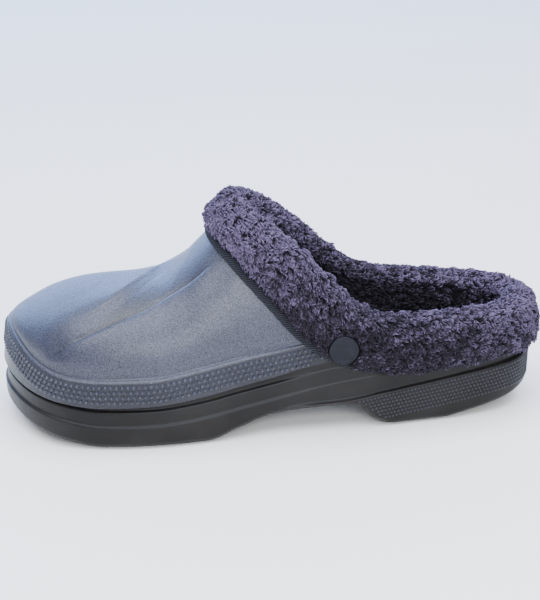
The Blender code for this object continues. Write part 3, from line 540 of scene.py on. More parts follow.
class Shell:
    """The body's rings: underside, side, dome, inside, and their normals."""

    BED_CORNER = ((0.0, 0.0095), (0.0006, 0.0062), (0.0022, 0.0038), (0.0045, 0.0018), (0.0075, 0.0008))

    def __init__(self, ribs: Ribs) -> None:
        """Draw every ring of the body.

        Args:
            ribs: The layout round the shoe.
        """
        self.ribs = ribs
        self.side = self._side_rings()
        self.dome = self._dome_rings(self.side[-1])
        self.normals = self._grid_normals(self.dome)
        self.inner = self._inner_rings()

    def _spread(
        self, plan: Array, shares: Sequence[float], floor: Callable[[Array], Array]
    ) -> list[Array]:
        """Rings that spread from the middle line out to a plan ring.

        Args:
            plan: The outermost ring, in plan.
            shares: How far out each ring lies.
            floor: Height at shares of the length.

        Returns:
            One ring for each share.
        """
        ribs = self.ribs
        rings = []
        for share in shares:
            spot = ribs.spine + (plan - ribs.spine) * share
            along = np.clip(spot[:, 0] / LENGTH, 0, 1)
            rings.append(ribs.raised(spot, floor(along)))
        return rings

    def _side_rings(self) -> list[Array]:
        """Rings from the tread's middle up to the foot of the upper.

        Returns:
            The rings in order.
        """
        ribs = self.ribs
        fade = smooth_step(FADE_START, FADE_END, ribs.along)
        corner = ribs.inset(RIM_OUTER + RIM_WIDTH + 0.0012)
        rings = self._spread(corner, np.linspace(0, 1, 9), tread_floor)
        profile = [rings[-1]]
        radii = [0.0004]
        for ring in SIDE_RINGS:
            inset = ring.fore + (ring.rear - ring.fore) * fade
            if ring.level == "band_top":
                inset = inset + TOE_LEAN * (1 - smooth_step(0.0, TOE_LEAN_END, ribs.along))
            plan = ribs.inset(inset)
            level = ribs.along
            if ring.level == "tread":
                level = np.clip(plan[:, 0] / LENGTH, 0, 1)
            profile.append(ribs.raised(plan, side_height(ring.level, level) + ring.lift))
            radii.append(ring.rounding)
        self.profile = profile
        return rings[:-1] + self._rounded(profile, radii)

    @staticmethod
    def _rounded(profile: list[Array], radii: Sequence[float]) -> list[Array]:
        """Each corner of the profile rounded by a short curve through five points.

        Args:
            profile: Rings at the corners.
            radii: Rounding of each corner, metres.

        Returns:
            The rings of the rounded profile.
        """
        result = [profile[0]]
        for before, here, after, radius in zip(profile, profile[1:], profile[2:], radii[1:]):
            back = before - here
            ahead = after - here
            back_size = np.linalg.norm(back, axis=1, keepdims=True)
            ahead_size = np.linalg.norm(ahead, axis=1, keepdims=True)
            reach = np.minimum(radius, 0.42 * np.minimum(back_size, ahead_size))
            start = here + back / back_size * reach
            end = here + ahead / ahead_size * reach
            for t in (0.0, 0.3, 0.7, 1.0):
                result.append((1 - t) ** 2 * start + 2 * t * (1 - t) * here + t * t * end)
        result.append(profile[-1])
        return result

    def _dome_rings(self, foot: Array) -> list[Array]:
        """Rings of the upper's skin, from its foot to the crown or collar.

        Args:
            foot: The ring that the upper stands on.

        Returns:
            The rings in order.
        """
        ribs = self.ribs
        base = foot[:, :2]
        low = foot[:, 2]
        spine_along = ribs.spine[:, 0] / LENGTH
        ends = self._collar_angles(base, low)
        rings = []
        for share in np.linspace(0, 1, ribs.density.dome + 1)[1:]:
            turn = ends * share
            along = spine_along
            for _ in range(4):
                power = blend(CROWNS, "across", along)
                reach = np.cos(turn) ** (2 / power)
                plan = ribs.spine + (base - ribs.spine) * reach[:, None]
                along = np.clip(plan[:, 0] / LENGTH, 0, 1)
            upward = blend(CROWNS, "upward", along)
            top = blend(CROWNS, "height", along) * INSTEP_HEIGHT
            rings.append(ribs.raised(plan, low + (top - low) * np.sin(turn) ** (2 / upward)))
        return rings

    def _collar_angles(self, base: Array, low: Array) -> Array:
        """Angle up each rib where the collar's cut crosses the upper.

        Args:
            base: Plan of the upper's foot.
            low: Height of the upper's foot.

        Returns:
            An angle for each rib, radians.
        """
        ribs = self.ribs
        lo = np.zeros(ribs.count)
        hi = np.full(ribs.count, math.pi / 2)
        start = ribs.spine[:, 0] / LENGTH
        for _ in range(30):
            mid = 0.5 * (lo + hi)
            power = blend(CROWNS, "across", start)
            reach = np.cos(mid) ** (2 / power)
            x = ribs.spine[:, 0] + (base[:, 0] - ribs.spine[:, 0]) * reach
            along = np.clip(x / LENGTH, 0, 1)
            upward = blend(CROWNS, "upward", along)
            top = blend(CROWNS, "height", along) * INSTEP_HEIGHT
            height = low + (top - low) * np.sin(mid) ** (2 / upward)
            cut = np.where(
                ribs.outer_side, blend(COLLARS, "outer", along), blend(COLLARS, "inner", along)
            )
            under = height < cut * INSTEP_HEIGHT
            lo = np.where(under, mid, lo)
            hi = np.where(under, hi, mid)
        return np.where(ribs.open, lo, math.pi / 2)

    def _grid_normals(self, rings: list[Array]) -> Array:
        """Outward normals of a stack of rings.

        Args:
            rings: Rings in order, upward.

        Returns:
            Normals, rings by ribs by three.
        """
        ribs = self.ribs
        normal = grid_normals(np.array(rings))
        closed = ~ribs.open
        along = ribs.spine[closed, 0] / LENGTH
        slope = blend(CROWNS, "height", along + 0.005) - blend(CROWNS, "height", along - 0.005)
        slope = slope * INSTEP_HEIGHT / (0.01 * LENGTH)
        crown = np.column_stack((-slope, np.zeros_like(slope), np.ones_like(slope)))
        normal[-1, closed] = normalised(crown)
        return normal

    def _inner_rings(self) -> list[Array]:
        """Rings of the inside, from the collar down to the footbed's middle.

        Returns:
            The rings in order.
        """
        ribs = self.ribs
        rings = []
        last = len(self.dome) - 1
        for k in np.linspace(last, 0, ribs.density.inside).round().astype(int):
            rings.append(self.dome[k] - self.normals[k] * WALL)
        plan = rings[-1][:, :2]
        bed = bed_floor(np.clip(plan[:, 0] / LENGTH, 0, 1))
        for step, lift in self.BED_CORNER:
            rings.append(ribs.raised(plan + ribs.inward * step, bed + lift))
        flat = plan + ribs.inward * self.BED_CORNER[-1][0]
        rings += self._spread(flat, (0.8, 0.6, 0.3, 0.0), bed_floor)
        return rings


@dataclass(frozen=True)
class Crease:
    """A soft fold of the upper along a line of points on its skin, metres.

    above and below hold how deep the skin is pushed in at each distance
    from the line, toward the crown and toward the band.
    """

    points: tuple[tuple[float, float, float], ...]
    above: tuple[tuple[float, float], ...]
    below: tuple[tuple[float, float], ...]
    fade_in: float
    fade_out: float
    side: float = -1.0


VALLEY_LINE = (
    (-0.118, -0.0380, 0.0460),
    (-0.113, -0.0386, 0.0493),
    (-0.098, -0.0394, 0.0588),
    (-0.088, -0.0377, 0.0629),
    (-0.077, -0.0342, 0.0665),
    (-0.0645, -0.0298, 0.0702),
    (-0.0545, -0.0262, 0.0745),
    (-0.045, -0.0250, 0.0795),
    (-0.036, -0.0245, 0.0850),
    (-0.028, -0.0245, 0.0910),
)
VALLEY_ABOVE = (
    (0.0, 0.0023),
    (0.0010, 0.0013),
    (0.0060, 0.0007),
    (0.013, 0.0001),
    (0.019, -0.0002),
    (0.030, 0.0),
)
VALLEY_BELOW = (
    (0.0, 0.0023),
    (0.0010, 0.0007),
    (0.0024, -0.0002),
    (0.0060, -0.0005),
    (0.014, -0.0003),
    (0.026, 0.0),
)
FOLD_LINE = (
    (-0.098, -0.0320, 0.0655),
    (-0.0857, -0.0228, 0.0708),
    (-0.070, -0.0041, 0.0753),
    (-0.058, 0.0120, 0.0790),
    (-0.048, 0.0240, 0.0800),
)
FOLD_ABOVE = ((0.0, -0.0009), (0.005, -0.0006), (0.016, 0.0))
FOLD_BELOW = ((0.0, -0.0009), (0.0022, 0.0001), (0.007, 0.0011), (0.014, 0.0009), (0.024, 0.0))
MIRROR_SHARE = 0.7
MIRROR_SHIFT = 0.002

CREASES = (
    Crease(VALLEY_LINE, VALLEY_ABOVE, VALLEY_BELOW, 0.011, 0.020),
    Crease(FOLD_LINE, FOLD_ABOVE, FOLD_BELOW, 0.020, 0.020),
    Crease(
        tuple((x, -y - MIRROR_SHIFT, z) for x, y, z in VALLEY_LINE),
        tuple((gap, push * MIRROR_SHARE) for gap, push in VALLEY_ABOVE),
        tuple((gap, push * MIRROR_SHARE) for gap, push in VALLEY_BELOW),
        0.020,
        0.015,
        1.0,
    ),
)


def polyline_curve(points: Array, steps: int) -> Array:
    """A smooth open line through points, with steps to a span.

    Args:
        points: The line's corners.
        steps: Samples in each span.

    Returns:
        The curve's samples.
    """
    ends = (2 * points[:1] - points[1:2], points, 2 * points[-1:] - points[-2:-1])
    padded = np.concatenate(ends)
    result = []
    for a, b, c, d in zip(padded, padded[1:], padded[2:], padded[3:]):
        for t in np.linspace(0, 1, steps, endpoint=False):
            result.append(catmull(a, b, c, d, t))
    result.append(points[-1])
    return np.array(result)


def catmull(a: Array, b: Array, c: Array, d: Array, t: float) -> Array:
    """A smooth curve's point at t from b to c."""
    return 0.5 * (2 * b + (c - a) * t + (2 * a - 5 * b + 4 * c - d) * t**2 + (3 * b - a - 3 * c + d) * t**3)


def polyline_offset(points: Array, line: Array) -> tuple[Array, Array, Array]:
    """Where points lie beside a line.

    Args:
        points: Places, three columns.
        line: The line's corners in order.

    Returns:
        Distance to the line, way along it, and the offset from it.
    """
    best = np.full(len(points), np.inf)
    run = np.zeros(len(points))
    off = np.zeros((len(points), 3))
    gone = 0.0
    for a, b in zip(line[:-1], line[1:]):
        step = b - a
        size = float(np.linalg.norm(step))
        t = np.clip((points - a) @ step / size**2, 0, 1)
        delta = points - (a + t[:, None] * step)
        distance = np.linalg.norm(delta, axis=1)
        nearer = distance < best
        best = np.where(nearer, distance, best)
        run = np.where(nearer, gone + t * size, run)
        off[nearer] = delta[nearer]
        gone += size
    return best, run, off


def mesh_piece(
    name: str, points: Array, faces: Sequence[Sequence[int]], material: bpy.types.Material
) -> bpy.types.Object:
    """A smooth-shaded piece from points and faces.

    Args:
        name: The piece's name.
        points: Vertex places in the CAD's frame.
        faces: Vertex indexes of each face.
        material: The piece's finish.

    Returns:
        The new object, linked to the scene.
    """
    mesh = bpy.data.meshes.new(name)
    mesh.from_pydata([tuple(p) for p in points], [], [tuple(int(k) for k in f) for f in faces])
    mesh.materials.append(material)
    mesh.polygons.foreach_set("use_smooth", [True] * len(mesh.polygons))
    mesh.update()
    obj = bpy.data.objects.new(name, mesh)
    bpy.context.scene.collection.objects.link(obj)
    return obj


def float_attribute(obj: bpy.types.Object, name: str, values: Array) -> None:
    """Store one number a vertex under a name."""
    layer = obj.data.attributes.new(name, "FLOAT", "POINT")
    layer.data.foreach_set("value", np.asarray(values, np.float32).ravel())


def grid_faces(rows: int, count: int) -> list[tuple[int, int, int, int]]:
    """Quads between rings of count points each.

    Args:
        rows: How many rings.
        count: Points in each ring.

    Returns:
        Four indexes a face.
    """
    faces = []
    for level in range(rows - 1):
        above = level + 1
        for i in range(count):
            j = (i + 1) % count
            faces.append((level * count + i, level * count + j, above * count + j, above * count + i))
    return faces


# Push depths where the fold mask starts and grows full; the mask paints shade into the creases and roughens
# them.
FOLD_FROM = 0.0009
FOLD_FULL = 0.0009
# Share of the upper's colour, grain and coat at each ring level. In colour the steps below the band keep
# the sole's painted shade, the band gets a little painted light, and its ledge and the dome get the full
# painted light.
UPPER_AND_LIGHT_LEVELS = ((52, 0.0), (54, 0.36), (58, 0.42), (61, 0.85), (68, 1.0))


@dataclass
class BodyPiece:
    """The moulded body as one fine skin."""

    shell: Shell
    material: bpy.types.Material
    # Painted shade: the upper's colour is painted darker toward the heel over this span.
    heel_shade: float = 0.75
    heel_shade_span: tuple[float, float] = (0.50, 0.68)
    end_loss: float = 0.8
    line_steps: int = 6

    def build(self) -> bpy.types.Object:
        """Draw the body over the CAD's, with its creases.

        Returns:
            The body's object, which replaces the CAD node.
        """
        shell = self.shell
        dome = self._creased()
        rings = shell.side + dome + shell.inner
        count = shell.ribs.count
        points = np.concatenate(rings) + SHIFT
        faces = []
        collar = len(shell.side) + len(dome) - 1
        open_rib = shell.ribs.open
        for level in range(len(rings) - 1):
            for i in range(count):
                j = (i + 1) % count
                if level != collar or open_rib[i] or open_rib[j]:
                    a = level * count
                    faces.append((a + i, a + j, a + count + j, a + count + i))
        piece = mesh_piece("clog_foam", points, faces, self.material)
        # Upper mask: painted light by ring level, painted darker toward the heel as painted shade; it also
        # places the grain and coat.
        level = np.interp(np.arange(len(rings)), *zip(*UPPER_AND_LIGHT_LEVELS))
        share = 1 - self.heel_shade * smooth_step(*self.heel_shade_span, shell.ribs.along)
        float_attribute(piece, "upper", level[:, None] * share[None])
        # Painted shade in the creases, from how deep the skin is pushed in.
        fold = np.zeros((len(rings), count))
        fold[len(shell.side) : collar + 1] = np.clip((self.push - FOLD_FROM) / FOLD_FULL, 0, 1)
        float_attribute(piece, "fold", fold)
        self._weld(piece)
        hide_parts("clog_body")
        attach(piece, "root")
        return piece

    def _creased(self) -> list[Array]:
        """The dome's rings with the vamp's troughs pressed in.

        Returns:
            The rings in order.
        """
        shell = self.shell
        grid = np.array(shell.dome)
        skin = tree_of([ring + SHIFT for ring in shell.dome])
        flat = grid.reshape(-1, 3) + SHIFT
        push = np.zeros(len(flat))
        for crease in CREASES:
            line = np.array([skin.find_nearest(Vector(p))[0] for p in crease.points])
            line = polyline_curve(line, self.line_steps)
            distance, run, off = polyline_offset(flat, line)
            length = float(np.sum(np.linalg.norm(np.diff(line, axis=0), axis=1)))
            above = np.interp(distance, *zip(*crease.above))
            below = np.interp(distance, *zip(*crease.below))
            depth = np.where(off[:, 1] * crease.side < 0, above, below)
            depth *= smooth_step(0.0, crease.fade_in, run)
            depth *= 1 - self.end_loss * smooth_step(length - crease.fade_out, length, run)
            push += depth
        self.push = push.reshape(grid.shape[:2])
        return list(grid - shell.normals * self.push[:, :, None])

    @staticmethod
    def _weld(piece: bpy.types.Object) -> None:
        """Close the grid at its middle lines.

        Args:
            piece: The body's object.
        """
        bm = bmesh.new()
        bm.from_mesh(piece.data)
        bmesh.ops.remove_doubles(bm, verts=bm.verts, dist=1e-6)
        bmesh.ops.dissolve_degenerate(bm, edges=bm.edges, dist=1e-7)
        bmesh.ops.recalc_face_normals(bm, faces=bm.faces)
        for face in bm.faces:
            face.smooth = True
        bm.to_mesh(piece.data)
        bm.free()


@dataclass(frozen=True)
class PimpleRows:
    """Rows of small domes on one band, metres."""

    name: str
    foot: int
    top: int
    start: float
    end: float
    pitch: float
    spacing: float
    margin: float
    radius: float
    height: float
    rows: int
    # Share of the upper's paler colour on the domes: painted highlight on them.
    upper: float


PIMPLES = (
    PimpleRows("band_pimples", 12, 13, 0.0, 0.64, 0.0029, 0.0027, 0.0021, 0.00095, 0.0012, 4, 1.0),
    PimpleRows("heel_pimples", 4, 5, 0.655, 1.0, 0.0020, 0.0021, 0.0014, 0.00072, 0.0007, 7, 0.45),
)


@dataclass
class PimplePiece:
    """Small moulded domes in staggered rows round a band."""

    shell: Shell
    rows: PimpleRows
    material: bpy.types.Material
    sides: int = 8
    profile: tuple[tuple[float, float], ...] = ((1.0, -0.1), (0.92, 0.25), (0.62, 0.78))

    def build(self, covered: Callable[[Array], Array]) -> bpy.types.Object:
        """Place a dome at each step along each row.

        Args:
            covered: Tells which places lie under the fleece.

        Returns:
            All the domes as one mesh.
        """
        rows = self.rows
        foot = self.shell.profile[rows.foot] + SHIFT
        top = self.shell.profile[rows.top] + SHIFT
        along = self.shell.ribs.along
        spots = []
        normals = []
        gaps = np.linalg.norm(np.roll(top, -1, 0) - top, axis=1)
        run = np.concatenate(((0.0,), np.cumsum(gaps)))
        count = int(run[-1] / rows.pitch)
        height = top - foot
        up = normalised(height)
        tall = np.linalg.norm(height, axis=1)
        for row in range(rows.rows):
            where = (np.arange(count) + 0.5 * (row % 2)) / count * run[-1]
            index = np.interp(where, run, np.arange(len(run)))
            low = np.floor(index).astype(int) % len(top)
            nxt = (low + 1) % len(top)
            t = (index - np.floor(index))[:, None]
            drop = rows.margin + row * rows.spacing
            line = top - up * drop
            spot = line[low] * (1 - t) + line[nxt] * t
            rise = normalised(up[low] * (1 - t) + up[nxt] * t)
            way = normalised(top[nxt] - top[low])
            normal = normalised(np.cross(way, rise))
            keep = tall[low] > drop + rows.margin * 0.6
            keep &= (along[low] >= rows.start) & (along[low] <= rows.end)
            spots.append(spot[keep])
            normals.append(normal[keep])
        spots = np.concatenate(spots)
        normals = np.concatenate(normals)
        clear = ~covered(spots)
        return self._domes(spots[clear], normals[clear])

    def _domes(self, spots: Array, normals: Array) -> bpy.types.Object:
        """One low dome at each spot, joined.

        Args:
            spots: Place of each dome.
            normals: Way that each dome stands out.

        Returns:
            All the domes as one mesh.
        """
        rows = self.rows
        helper = np.where(np.abs(normals[:, 2:]) > 0.9, (1.0, 0.0, 0.0), (0.0, 0.0, 1.0))
        across = normalised(np.cross(helper, normals))
        other = np.cross(normals, across)
        rings = []
        for share, lift in self.profile:
            for k in range(self.sides):
                angle = 2 * math.pi * k / self.sides
                side = across * math.cos(angle) + other * math.sin(angle)
                rings.append(spots + side * rows.radius * share + normals * rows.height * lift)
        rings.append(spots + normals * rows.height)
        points = np.stack(rings, axis=1).reshape(-1, 3)
        stride = len(rings)
        base = grid_faces(len(self.profile), self.sides)
        faces = [tuple(v + n * stride for v in f) for n in range(len(spots)) for f in base]
        tip = stride - 1
        a = (len(self.profile) - 1) * self.sides
        for n in range(len(spots)):
            for k in range(self.sides):
                j = (k + 1) % self.sides
                faces.append((n * stride + a + k, n * stride + a + j, n * stride + tip))
        piece = mesh_piece(rows.name, points, faces, self.material)
        # The domes' paler colour is painted highlight.
        float_attribute(piece, "upper", np.full(len(points), rows.upper))
        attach(piece, "root")
        return piece


def even_loop(points: Array, count: int) -> Array:
    """Indexes round a closed loop that space its points evenly.

    Args:
        points: The loop's points in order.
        count: How many places are wanted.

    Returns:
        Fractional indexes into the loop.
    """
    gaps = np.linalg.norm(np.roll(points, -1, 0) - points, axis=1)
    run = np.concatenate(((0,), np.cumsum(gaps)))
    want = np.linspace(0, run[-1], count, endpoint=False)
    return np.interp(want, run, np.arange(len(points) + 1))


def sample_loop(points: Array, where: Array) -> Array:
    """Points of a closed loop at fractional indexes.

    Args:
        points: The loop's points in order.
        where: Fractional indexes.

    Returns:
        A point for each index.
    """
    low = np.floor(where).astype(int)
    t = (where - low)[:, None]
    count = len(points)
    return points[low % count] * (1 - t) + points[(low + 1) % count] * t


def tree_of(rings: Sequence[Array]) -> BVHTree:
    """Search tree over the faces between closed rings.

    Args:
        rings: Rings of equal count, in order.

    Returns:
        The search tree.
    """
    points = np.concatenate(rings)
    faces = grid_faces(len(rings), len(rings[0]))
    return BVHTree.FromPolygons([tuple(p) for p in points], faces)


class Skin:
    """Runs down from the collar's edge on one face of the body."""

    def __init__(self, tree: BVHTree, edge: Array, down: Array) -> None:
        """Tree of the face, edge points and first direction.

        Args:
            tree: Search tree of the face.
            edge: The collar's edge.
            down: First direction of each station.
        """
        self.tree = tree
        self.edge = edge
        self.down = down

    def march(self, reach: float) -> None:
        """Walk every station down the skin once, and keep the way.

        Args:
            reach: How far to walk, metres.
        """
        self.count = int(math.ceil(reach / SKIN_STEP))
        places = [self.edge]
        normals = []
        point = self.edge.copy()
        way = self.down.copy()
        for k in range(self.count + 1):
            found = [self.tree.find_nearest(Vector(p)) for p in point]
            placed = np.array([f[0] for f in found])
            normal = normalised(round_off(np.array([f[1] for f in found]), 14))
            if k:
                places.append(placed)
            normals.append(normal)
            flat = way - normal * np.sum(way * normal, axis=1)[:, None]
            way = normalised(flat)
            point = places[-1] + way * SKIN_STEP
        self.places = np.array(places)
        self.normals = np.array(normals)

    def at(self, distances: Array | float) -> tuple[Array, Array]:
        """Places and normals at one distance a station from the edge.

        Args:
            distances: Metres from the edge, one or one a station.

        Returns:
            Places and normals.
        """
        where = np.broadcast_to(distances, (len(self.edge),)) / SKIN_STEP
        low = np.clip(np.floor(where).astype(int), 0, self.count - 1)
        t = (where - low)[:, None]
        index = np.arange(len(self.edge))
        spot = self.places[low, index] * (1 - t) + self.places[low + 1, index] * t
        normal = self.normals[low, index] * (1 - t) + self.normals[low + 1, index] * t
        return spot, normalised(normal)


class CollarEdge:
    """The collar's edge: stations, frames and both skins below them."""

    FLAP_REACH = 0.031
    LEG_REACH = 0.024

    def __init__(self, shell: Shell, stations: int) -> None:
        """Space stations along the collar and walk both skins below it.

        Args:
            shell: The body's rings.
            stations: How many stations go round.
        """
        ribs = shell.ribs
        throat = ribs.density.toe + ribs.density.vamp - 1
        loop = list(range(throat, ribs.count - throat))
        outer = shell.dome[-1][loop] + SHIFT
        inside = shell.inner[0][loop] + SHIFT
        where = even_loop(outer, stations)
        self.stations = stations
        self.outer = sample_loop(outer, where)
        self.inside = sample_loop(inside, where)
        run = normalised(np.roll(self.outer, -1, 0) - np.roll(self.outer, 1, 0))
        below = sample_loop(shell.dome[-5][loop] + SHIFT, where)
        drop = below - self.outer
        drop[0] = (-1.0, 0.0, -1.0)
        drop = normalised(round_off(normalised(drop), 10))
        drop = drop - run * np.sum(drop * run, axis=1)[:, None]
        down = normalised(round_off(normalised(drop), 12))
        self.up = -down
        self.along = (self.outer[:, 0] - SHIFT[0]) / LENGTH
        skin = [ring + SHIFT for ring in shell.side[12:] + shell.dome]
        lining = [ring + SHIFT for ring in shell.inner]
        self.outer_skin = Skin(tree_of(skin), self.outer, down)
        self.inner_skin = Skin(tree_of(lining), self.inside, down)
        self.outer_skin.march(self.FLAP_REACH)
        self.inner_skin.march(self.LEG_REACH)

    def flap(self) -> Array:
        """Fall of the flap over the body at each station."""
        return blend(COLLARS, "flap", self.along) * FLAP_WIDTH

    def leg(self) -> Array:
        """Length of the inner leg at each station."""
        bed = side_height("footbed", self.along) + INSOLE_THICK + INNER_LEG_REST
        return np.minimum(INNER_LEG, self.inside[:, 2] - bed)


def through(rows: list[Array], steps: int) -> Array:
    """Smooth rows through control rows.

    Args:
        rows: Control rows in order, each of the same stations.
        steps: Rows for each span.

    Returns:
        Rows by stations by three.
    """
    grid = np.array(rows)
    padded = np.concatenate(([2 * grid[0] - grid[1]], grid, [2 * grid[-1] - grid[-2]]))
    result = []
    for k in range(1, len(padded) - 2):
        a, b, c, d = padded[k - 1 : k + 3]
        for t in np.linspace(0, 1, steps, endpoint=False):
            result.append(catmull(a, b, c, d, t))
    result.append(grid[-1])
    return np.array(result)


class CuffShape:
    """The cuff's outer surface: from the flap's edge over the rim to the leg's end."""

    STEPS = 5
    FLAP_PARTS = ((1.0, 0.80), (0.66, 1.02), (0.33, 1.04), (0.0, 1.0))
    FLAP_FOOT = 0.35
    RIM_OUT = 0.7
    RIM_OUTER_UP = 0.66
    RIM_INNER_UP = 0.72
    LEG_END = 0.55

    def __init__(self, edge: CollarEdge) -> None:
        """Draw the surface at the pile's full depth.

        Args:
            edge: The collar's stations.
        """
        self.edge = edge
        self.grid = self.surface(1.0)

    def _dent(self, points: Array) -> Array:
        """How far the rivets press the pile, 1 at their centres.

        Args:
            points: Places on the skin.

        Returns:
            A share for each place.
        """
        dent = np.zeros(len(points))
        for centre in RIVET_PLACES:
            reach = np.linalg.norm(points - np.array(centre), axis=1) / RIVET_PRESS
            dent = np.maximum(dent, np.exp(-(reach**4)))
        return dent

    def _waves(self, row: int) -> Array:
        """Soft waves of the pile round one row, as shares of its depth.

        Args:
            row: The row's number.

        Returns:
            A share for each station.
        """
        angle = np.arange(self.edge.stations) * 2 * math.pi / self.edge.stations
        wave = np.sin(angle * 31 + row * 1.9) + 0.8 * np.sin(angle * 47 - row * 2.6 + 1.0)
        return 0.10 * (wave + 0.7 * np.sin(angle * 19 + row * 4.1 + 2.0))

    def surface(self, full: float) -> Array:
        """Rows of the surface with the pile at a share of its depth.

        Args:
            full: Share of the pile's depth.

        Returns:
            Rows by stations by three.
        """
        edge = self.edge
        flap = edge.flap()
        leg = edge.leg()
        up = edge.up
        outer = {share: edge.outer_skin.at(flap * share) for share in (0.0, 0.33, 0.66, 1.0)}
        inside = {share: edge.inner_skin.at(leg * share) for share in (0.0, 0.5, 1.0)}
        rows = []
        spot, normal = outer[1.0]
        rows.append(spot + normal * FIT_GAP)
        rows.append(spot - up * FLAP_ROUND + normal * (FIT_GAP + PILE_OUTER * self.FLAP_FOOT * full))
        for share, part in self.FLAP_PARTS:
            spot, normal = outer[share]
            pile = PILE_OUTER * (part + self._waves(len(rows))) * full
            dent = self._dent(spot)
            pile = pile * (1 - dent) + (RIVET_SEAT - FIT_GAP) * dent
            rows.append(spot + normal * (FIT_GAP + pile)[:, None])
        spot, normal = outer[0.0]
        lift = up * (FIT_GAP + PILE_TOP * self.RIM_OUTER_UP * full)
        rows.append(spot + normal * (FIT_GAP + PILE_OUTER * self.RIM_OUT * full) + lift)
        middle = 0.5 * (outer[0.0][0] + inside[0.0][0])
        rows.append(middle + up * (FIT_GAP + PILE_TOP * (1 + self._waves(len(rows)))[:, None] * full))
        spot, normal = inside[0.0]
        lift = up * (FIT_GAP + PILE_TOP * self.RIM_INNER_UP * full)
        rows.append(spot + normal * (FIT_GAP + PILE_INNER * self.RIM_OUT * full) + lift)
        rows.append(spot + normal * (FIT_GAP + PILE_INNER * full))
        for share in (0.5, 1.0):
            spot, normal = inside[share]
            rows.append(spot + normal * (FIT_GAP + PILE_INNER * full))
        spot, normal = inside[1.0]
        rows.append(spot - up * LEG_ROUND + normal * (FIT_GAP + PILE_INNER * self.LEG_END * full))
        rows.append(spot - up * 0.5 * LEG_ROUND + normal * FIT_GAP)
        return through(rows, self.STEPS)


BACKING_SHARE = 0.78
LOCK_SIZES = ((0.0, 0.30), (0.09, 0.40), (0.17, 1.0), (0.85, 1.0), (1.0, 0.7))
RIVET_CLEAR = 0.0084
RIVET_INWARD = 0.002
RIVET_AROUND = 0.009
UNDER_FLEECE = 0.0022


def press_round_rivets(points: Array) -> Array:
    """Locks' points, with those inside a rivet's cap moved out to its rim.

    Args:
        points: Places, changed as they are read.

    Returns:
        The same places.
    """
    flat = points.reshape(-1, 3)
    for x, y, z in RIVET_PLACES:
        off = flat[:, (0, 2)] - np.array((x, z))
        gap = np.linalg.norm(off, axis=1)
        inside = (gap < RIVET_CLEAR) & (flat[:, 1] * y > 0)
        inside &= np.abs(flat[:, 1]) > abs(y) - RIVET_INWARD
        scale = RIVET_CLEAR / np.maximum(gap[inside], 1e-6)
        flat[inside, 0] = x + off[inside, 0] * scale
        flat[inside, 2] = z + off[inside, 1] * scale
    return flat.reshape(points.shape)


def painted_light_of(places: Array) -> Array:
    """How pale the pile is painted at places: painted light high up and toward the heel, painted shade low
    on the flap and deep inside.
    """
    return smooth_step(0.055, 0.112, places[:, 2] + 0.34 * np.maximum(places[:, 0], 0.0))


@dataclass(frozen=True)
class Pile:
    """How the fleece's locks grow, metres.

    first and last bound the stretch of the surface as shares of its rows,
    and lay is how flat the locks lie, from 0 for upright to 1 for flat.
    """

    name: str
    count: int
    length: float
    width: float
    seed: int
    first: float
    last: float
    lay: float
    # Base paleness of the pile; the inside pile's lower value is painted shade deep in the shoe.
    tone: float = -0.14
    slot: str = "fleece"


